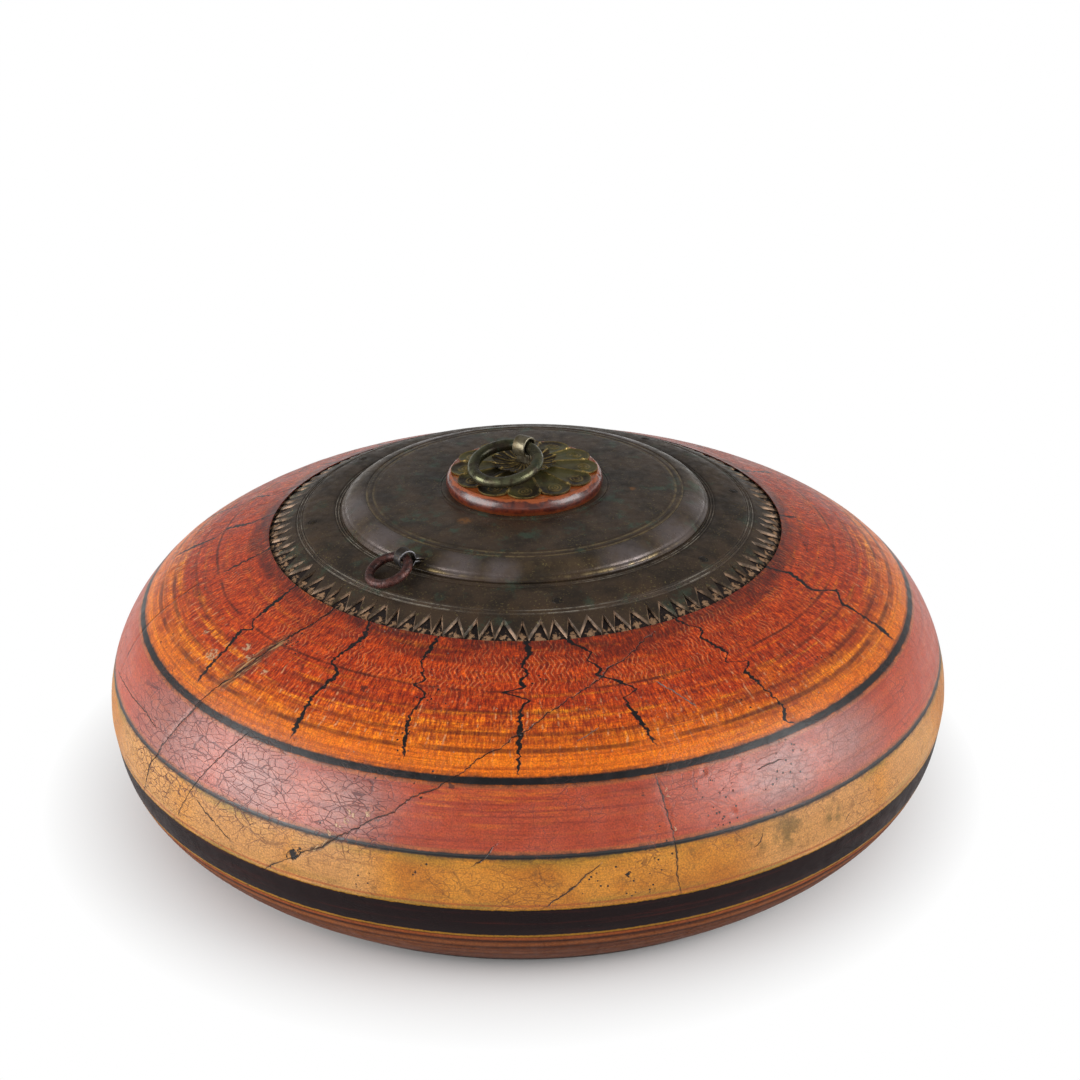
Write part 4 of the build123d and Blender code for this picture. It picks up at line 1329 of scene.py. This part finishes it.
class TOBACCO_OT_rosettes(bpy.types.Operator):
    """Builds the two embossed metal flowers on the boss"""

    bl_idname = "tobacco_box.rosettes"
    bl_label = "Rosettes"

    def execute(self, context):
        lid, colours = groups(context, "lid", "colours")
        peak, edge = in_mm(lid.boss_peak), in_mm(lid.boss_edge)
        rise, sheet = (peak - edge[1]) / edge[0], 0.8

        # The outer flower: a dished petal with a rib on each side, a knob and a coil at its tip
        angles = around(960)
        reach, off = petal_reach(angles, 32.6, 28.4, 0)
        radius = np.linspace(0.03, 1, 64)[:, None] * reach
        along, across = radius * np.cos(off) - 26.0, radius * np.sin(off)
        eye = np.hypot(along, across)
        turns = np.abs((eye / 1.45 - np.arctan2(across, along) / TAU) % 1 - 0.5) * 2
        coil = bell(turns - 1, 0.42) * np.clip((3.7 - eye) / 0.5, 0, 1)
        border = bell(reach - radius, 0.45)
        between = radius * (HALF_PETAL - np.abs(off))
        rib = bell(between, 0.42) * np.clip((radius - 12) / 2, 0, 1)
        knob = np.exp(-(between**2 + (radius - 27.0) ** 2) / 0.8**2)
        dish = 0.45 * np.clip(between / 3.2, 0, 1) * np.clip((reach - radius) / 3, 0, 1)
        relief = 0.5 * rib + 0.6 * knob + 0.2 * border + 0.3 * coil - dish
        upper = over_plan(radius, angles, peak - rise * radius + sheet + relief)
        low = np.array([1.0, 0.99, 0.6, 0.03])[:, None] * reach
        turned_in = np.array([0.35, 0.0, 0.0, 0.0])[:, None]
        lower = over_plan(low, angles, peak - rise * low + 0.02 + turned_in)
        worn = np.clip(0.9 * rib + knob + 0.6 * border + 0.85 * coil, 0, 1)
        finish = patinated_bronze("brass_embossed_green_patina", colours)
        node = ("lid", "green_brass", "outer_rosette")
        grids, worn = [np.concatenate([upper, lower])], np.concatenate([worn, 0.3 + 0 * low])
        piece("petals_outer", grids, False, finish, *node, crease=60, worn=worn)

        # The inner flower: its tips bend up, with a ray down the middle of each petal and between
        angles = around(720)
        reach, off = petal_reach(angles, 14.7, 12.6, HALF_PETAL)
        radius = np.linspace(0.05, 1, 30)[:, None] * reach
        lift = np.clip((radius - 7) / 7.7, 0, 1)
        bottom = peak + sheet - rise * radius + 1.95 * lift + 0.45 * lift**3
        side = radius * np.abs(off)
        ray = bell(side, 0.32) + 0.7 * bell(radius * HALF_PETAL - side, 0.3)
        ray = ray * np.clip((radius - 2) / 3, 0, 1)
        knob = np.exp(-((side**2 + (radius - 13.6) ** 2) / 0.7**2))
        top = bottom + 0.55 + 0.4 * ray + 0.5 * knob - 0.15 * np.clip(side, 0, 1)
        lower = over_plan(radius, angles, bottom + 0.05)[::-5]
        worn = np.concatenate([np.clip(ray + knob, 0, 1), 0.3 + 0 * lower[..., 0]])
        finish = patinated_bronze("brass_embossed_rubbed", colours)
        node = ("lid", "green_brass", "inner_rosette")
        grids = [np.concatenate([over_plan(radius, angles, top), lower])]
        piece("petals_inner", grids, False, finish, *node, crease=60, worn=worn)
        return {"FINISHED"}


def set_down(grid, matrix):
    """A grid made about the origin, turned and moved to its place by a matrix."""
    matrix = np.array(matrix)
    return grid @ matrix[:3, :3].T + matrix[:3, 3]


def turned_at(place, turn, tilt=0.0):
    """The matrix that tilts about y, turns about z, both in degrees, and moves to a place."""
    turned = Matrix.Rotation(math.radians(turn), 4, "Z")
    tilted = Matrix.Rotation(math.radians(tilt), 4, "Y")
    return Matrix.Translation(place) @ turned @ tilted


def staple_grid(bore, thickness, width, reach, clench_half, seed):
    """A folded strip: a rounded rectangle carried up one leg, round the eye and down the other,
    its corners eased by averaging neighbours along the path. Gives the grid about the eye's
    middle, and where the ring rubs it."""
    ring, leg = bore + thickness / 2, 0.15 + thickness / 2
    meet = math.asin(leg / ring)
    eye = np.linspace(meet, TAU - meet, 160)
    bottom = -reach - thickness / 2
    loop = np.stack([-ring * np.sin(eye), -ring * np.cos(eye)], 1)
    legs = [(-clench_half, bottom), (-leg, bottom)], [(leg, bottom), (clench_half, bottom)]
    path = spaced(np.concatenate([legs[0], loop, legs[1]]), 0.12)
    window = 13
    kernel = np.hanning(window) / np.hanning(window).sum()
    ends = window // 2
    padded = np.concatenate([path[:1].repeat(ends, 0), path, path[-1:].repeat(ends, 0)])
    path = np.stack([np.convolve(padded[:, k], kernel, "valid") for k in (0, 1)], 1)[::2]
    along = np.gradient(path, axis=0)
    along /= np.linalg.norm(along, axis=1, keepdims=True)
    turn, ease, none = around(28), 0.35, 0 * path[:, 0]
    across = np.sign(np.cos(turn)) * np.abs(np.cos(turn)) ** ease * thickness / 2
    rise = np.sign(np.sin(turn)) * np.abs(np.sin(turn)) ** ease * width / 2
    run = np.linspace(0, 1, len(path))[:, None]
    rise = rise * (0.965 + 0.035 * np.sin(run * 17 + seed))
    centre = np.stack([path[:, 0], none, path[:, 1]], 1)
    side = np.stack([-along[:, 1], none, along[:, 0]], 1)
    grid = carried(centre, side, np.zeros_like(centre) + (0, 1, 0), across + 0 * run, rise)
    at_eye = bell(np.linalg.norm(centre, axis=1) - ring, 1.5)[:, None]
    return grid, np.abs(np.sin(turn)) ** 6 * at_eye


class TOBACCO_OT_staples(bpy.types.Operator):
    """Builds the two folded staples that hold the rings"""

    bl_idname = "tobacco_box.staples"
    bl_label = "Staples"

    def execute(self, context):
        rings, lid, colours = groups(context, "rings", "lid", "colours")
        eye = in_mm(rings.eye)
        reach = eye - (in_mm(lid.flat)[1] - in_mm(lid.sheet))
        grid, worn = staple_grid(3.6, 1.1, 6.6, reach, 12, 1.0)
        grids = [set_down(grid, turned_at((0, 0, eye), MIDDLE_TURN))]
        finish = patinated_bronze("brass_strip_worn", colours)
        node = ("lid", "green_brass", "handle_staple")
        piece("staple_middle", grids, False, finish, *node, crease=50, worn=0.4 + 0.6 * worn)

        grid, worn = staple_grid(3.4, 1.0, 5.2, 11.4, 1.5, 2.0)
        grids = [set_down(grid, turned_at(SIDE_EYE, SIDE_TURN, 75))]
        finish = patinated_bronze("iron_strip_forged", colours)
        node = ("lid", "rusty_iron", "side_staple")
        piece("staple_side", grids, False, finish, *node, crease=50, worn=worn)
        return {"FINISHED"}


def ring_grid(circle, wire, seed, rough):
    """A forged ring: a wire section carried round a circle, a little flat and uneven, always
    inside its true torus. Gives the grid, hung from the origin, and where it is rubbed."""
    turn, section = around(200)[:, None], around(36)[None, :]
    bead = np.stack([9 * np.cos(turn), 9 * np.sin(turn), 0 * turn], 2)
    thick = wire * (1 - rough * ripple(bead, 7, seed))
    thick = thick * (1 - 0.03 * np.cos(2 * section + seed) ** 2)
    radius = circle + thick * np.cos(section)
    grid = over_plan(radius, turn, thick * np.sin(section) + 0 * turn) + (circle, 0, 0)
    rubbed = np.clip(np.cos(section) * 0.6 + np.sin(section) * 0.8, 0, 1) ** 2 + 0 * turn
    return grid, rubbed


class TOBACCO_OT_rings(bpy.types.Operator):
    """Builds the two swinging rings"""

    bl_idname = "tobacco_box.rings"
    bl_label = "Rings"

    def execute(self, context):
        rings, colours = groups(context, "rings", "colours")
        grid, worn = ring_grid(in_mm(rings.circle), in_mm(rings.wire), 31, 0.06)
        grids = [set_down(grid, turned_at((0, 0, in_mm(rings.eye)), MIDDLE_TURN, 13.8))]
        finish = patinated_bronze("bronze_ring_green_patina", colours)
        node = ("middle_ring", "green_bronze", "handle_ring")
        piece("ring_middle", grids, True, finish, *node, worn=worn)

        grid, _ = ring_grid(in_mm(rings.side_circle), in_mm(rings.side_wire), 37, 0.10)
        grids = [set_down(grid, turned_at(SIDE_EYE, SIDE_TURN, 22))]
        finish = rusty_iron("iron_ring_forged_rusty", colours.rust, "#33201e", 0.34)
        piece("ring_side", grids, True, finish, "edge_ring", "rusty_iron", "side_ring")
        return {"FINISHED"}


class TOBACCO_OT_stage(bpy.types.Operator):
    """Sets the floor, the light and the camera"""

    bl_idname = "tobacco_box.stage"
    bl_label = "Stage"

    def execute(self, context):
        scene = context.scene

        def placed(name, data):
            """Links a new object into the scene."""
            made = bpy.data.objects.new(name, data)
            scene.collection.objects.link(made)
            return made

        # A white floor: paper near the box, and plain white to the camera and mirrors further out
        near_end, far_end, thick = 0.01, 12, 0.05
        spread = [(r, 0) for r in (near_end, 0.4, 1.2, 4, far_end)]
        spread = np.array(spread + [(far_end, -thick), (near_end, -thick)]) / MM
        mesh = sheet_mesh("floor", [revolved(spread, around(64))], False)
        sweep = Finish("paper_sweep_white", None)
        place, middle = sweep.add("TexCoord", out="Object"), (-0.008, 0, 0)
        far = sweep.add("VectorMath", place, middle, operation="DISTANCE", out="Value")
        paper = sweep.add("BsdfDiffuse", Color=(0.9, 0.9, 0.9))
        white = sweep.add("Emission", Color=(1, 1, 1), Strength=1.0)
        ray = sweep.add("LightPath", out="Is Camera Ray")
        seen = ray * far.spread(0.157, 0.218, 0.0, 1.0)
        mirrored = ray.other("Is Glossy Ray") | ray.other("Is Transmission Ray")
        amount = seen | mirrored * far.step(0.25, 0.60)
        sweep.shown(sweep.add("MixShader", amount, paper, white))
        mesh.materials.append(sweep.made)
        floor = placed("floor", mesh)

        # A dim grey room, white to the camera
        world = bpy.data.worlds.new("studio")
        world.use_nodes = True
        sky = world.node_tree
        height = add(sky, "SeparateXYZ", add(sky, "TexCoord"), out="Z")
        strength = height.step(0.2, 0.9, 0.38, 0.25) | add(sky, "LightPath", out="Is Camera Ray")
        background = sky.nodes["Background"].inputs
        sky.links.new(strength.socket, background["Strength"])
        background["Color"].default_value = (1, 1, 1, 1)
        scene.world = world

        # Two tall softboxes, one on each side in front
        aim = Vector((0, 0, 0.08))
        lamps = [
            ("left_softbox", (-1.29, -0.50, 0.47), (1.40, 0.98), 20.5),
            ("right_softbox", (1.28, -0.54, 0.62), (1.05, 0.90), 15.5),
        ]
        for name, place, size, power in lamps:
            light = bpy.data.lights.new(name, "AREA")
            light.shape, light.energy = "RECTANGLE", power
            light.size, light.size_y = size
            lamp = placed(name, light)
            lamp.location = place
            lamp.rotation_euler = (aim - Vector(place)).to_track_quat("-Z", "Y").to_euler()

        # The camera that was fitted to the photograph: 25 degrees down, with a long lens
        camera = placed("camera", bpy.data.cameras.new("camera"))
        right = (0.99987, -0.00676, -0.01436)
        up, back = (0.01587, 0.42574, 0.90471), (0, -0.90482, 0.42579)
        axes = Matrix((right, up, back)).transposed().to_4x4()
        camera.matrix_world = Matrix.Translation((0.0065, -1.0177, 0.59657)) @ axes
        camera.data.lens, camera.data.sensor_width = 83.333, 36
        camera.data.clip_start = 0.01
        scene.camera = camera
        scene.view_settings.view_transform = "Standard"
        return {"FINISHED"}


OPERATORS = [
    TOBACCO_OT_stage,
    TOBACCO_OT_wood_core,
    TOBACCO_OT_lac_bands,
    TOBACCO_OT_collar,
    TOBACCO_OT_lid,
    TOBACCO_OT_boss,
    TOBACCO_OT_rosettes,
    TOBACCO_OT_staples,
    TOBACCO_OT_rings,
]
GROUPS = {
    "box_body": BodySizes,
    "box_collar": CollarSizes,
    "box_lid": LidSizes,
    "box_rings": RingSizes,
    "box_colours": Colours,
}


class TOBACCO_PT_panel(bpy.types.Panel):
    """Lists the box's pieces, sizes and colours"""

    bl_idname = "TOBACCO_PT_panel"
    bl_label = "Tobacco box"
    bl_space_type = "VIEW_3D"
    bl_region_type = "UI"
    bl_category = "Tobacco box"

    def draw(self, context):
        for operator in OPERATORS:
            self.layout.operator(operator.bl_idname)
        for name, group in GROUPS.items():
            column = self.layout.column(heading=name)
            for key in group.__annotations__:
                column.prop(getattr(context.scene, name), key)


def register():
    """Registers the sizes, the operators and the panel."""
    for name, group in GROUPS.items():
        bpy.utils.register_class(group)
        setattr(bpy.types.Scene, name, PointerProperty(type=group))
    for made in [*OPERATORS, TOBACCO_PT_panel]:
        bpy.utils.register_class(made)


def unregister():
    """Takes back what register did."""
    for made in [TOBACCO_PT_panel, *reversed(OPERATORS)]:
        bpy.utils.unregister_class(made)
    for name, group in GROUPS.items():
        delattr(bpy.types.Scene, name)
        bpy.utils.unregister_class(group)


def main():
    """Builds every piece in order."""
    register()
    bpy.ops.tobacco_box.stage()
    bpy.ops.tobacco_box.wood_core()
    bpy.ops.tobacco_box.lac_bands()
    bpy.ops.tobacco_box.collar()
    bpy.ops.tobacco_box.lid()
    bpy.ops.tobacco_box.boss()
    bpy.ops.tobacco_box.rosettes()
    bpy.ops.tobacco_box.staples()
    bpy.ops.tobacco_box.rings()


if __name__ == "__main__":
    main()
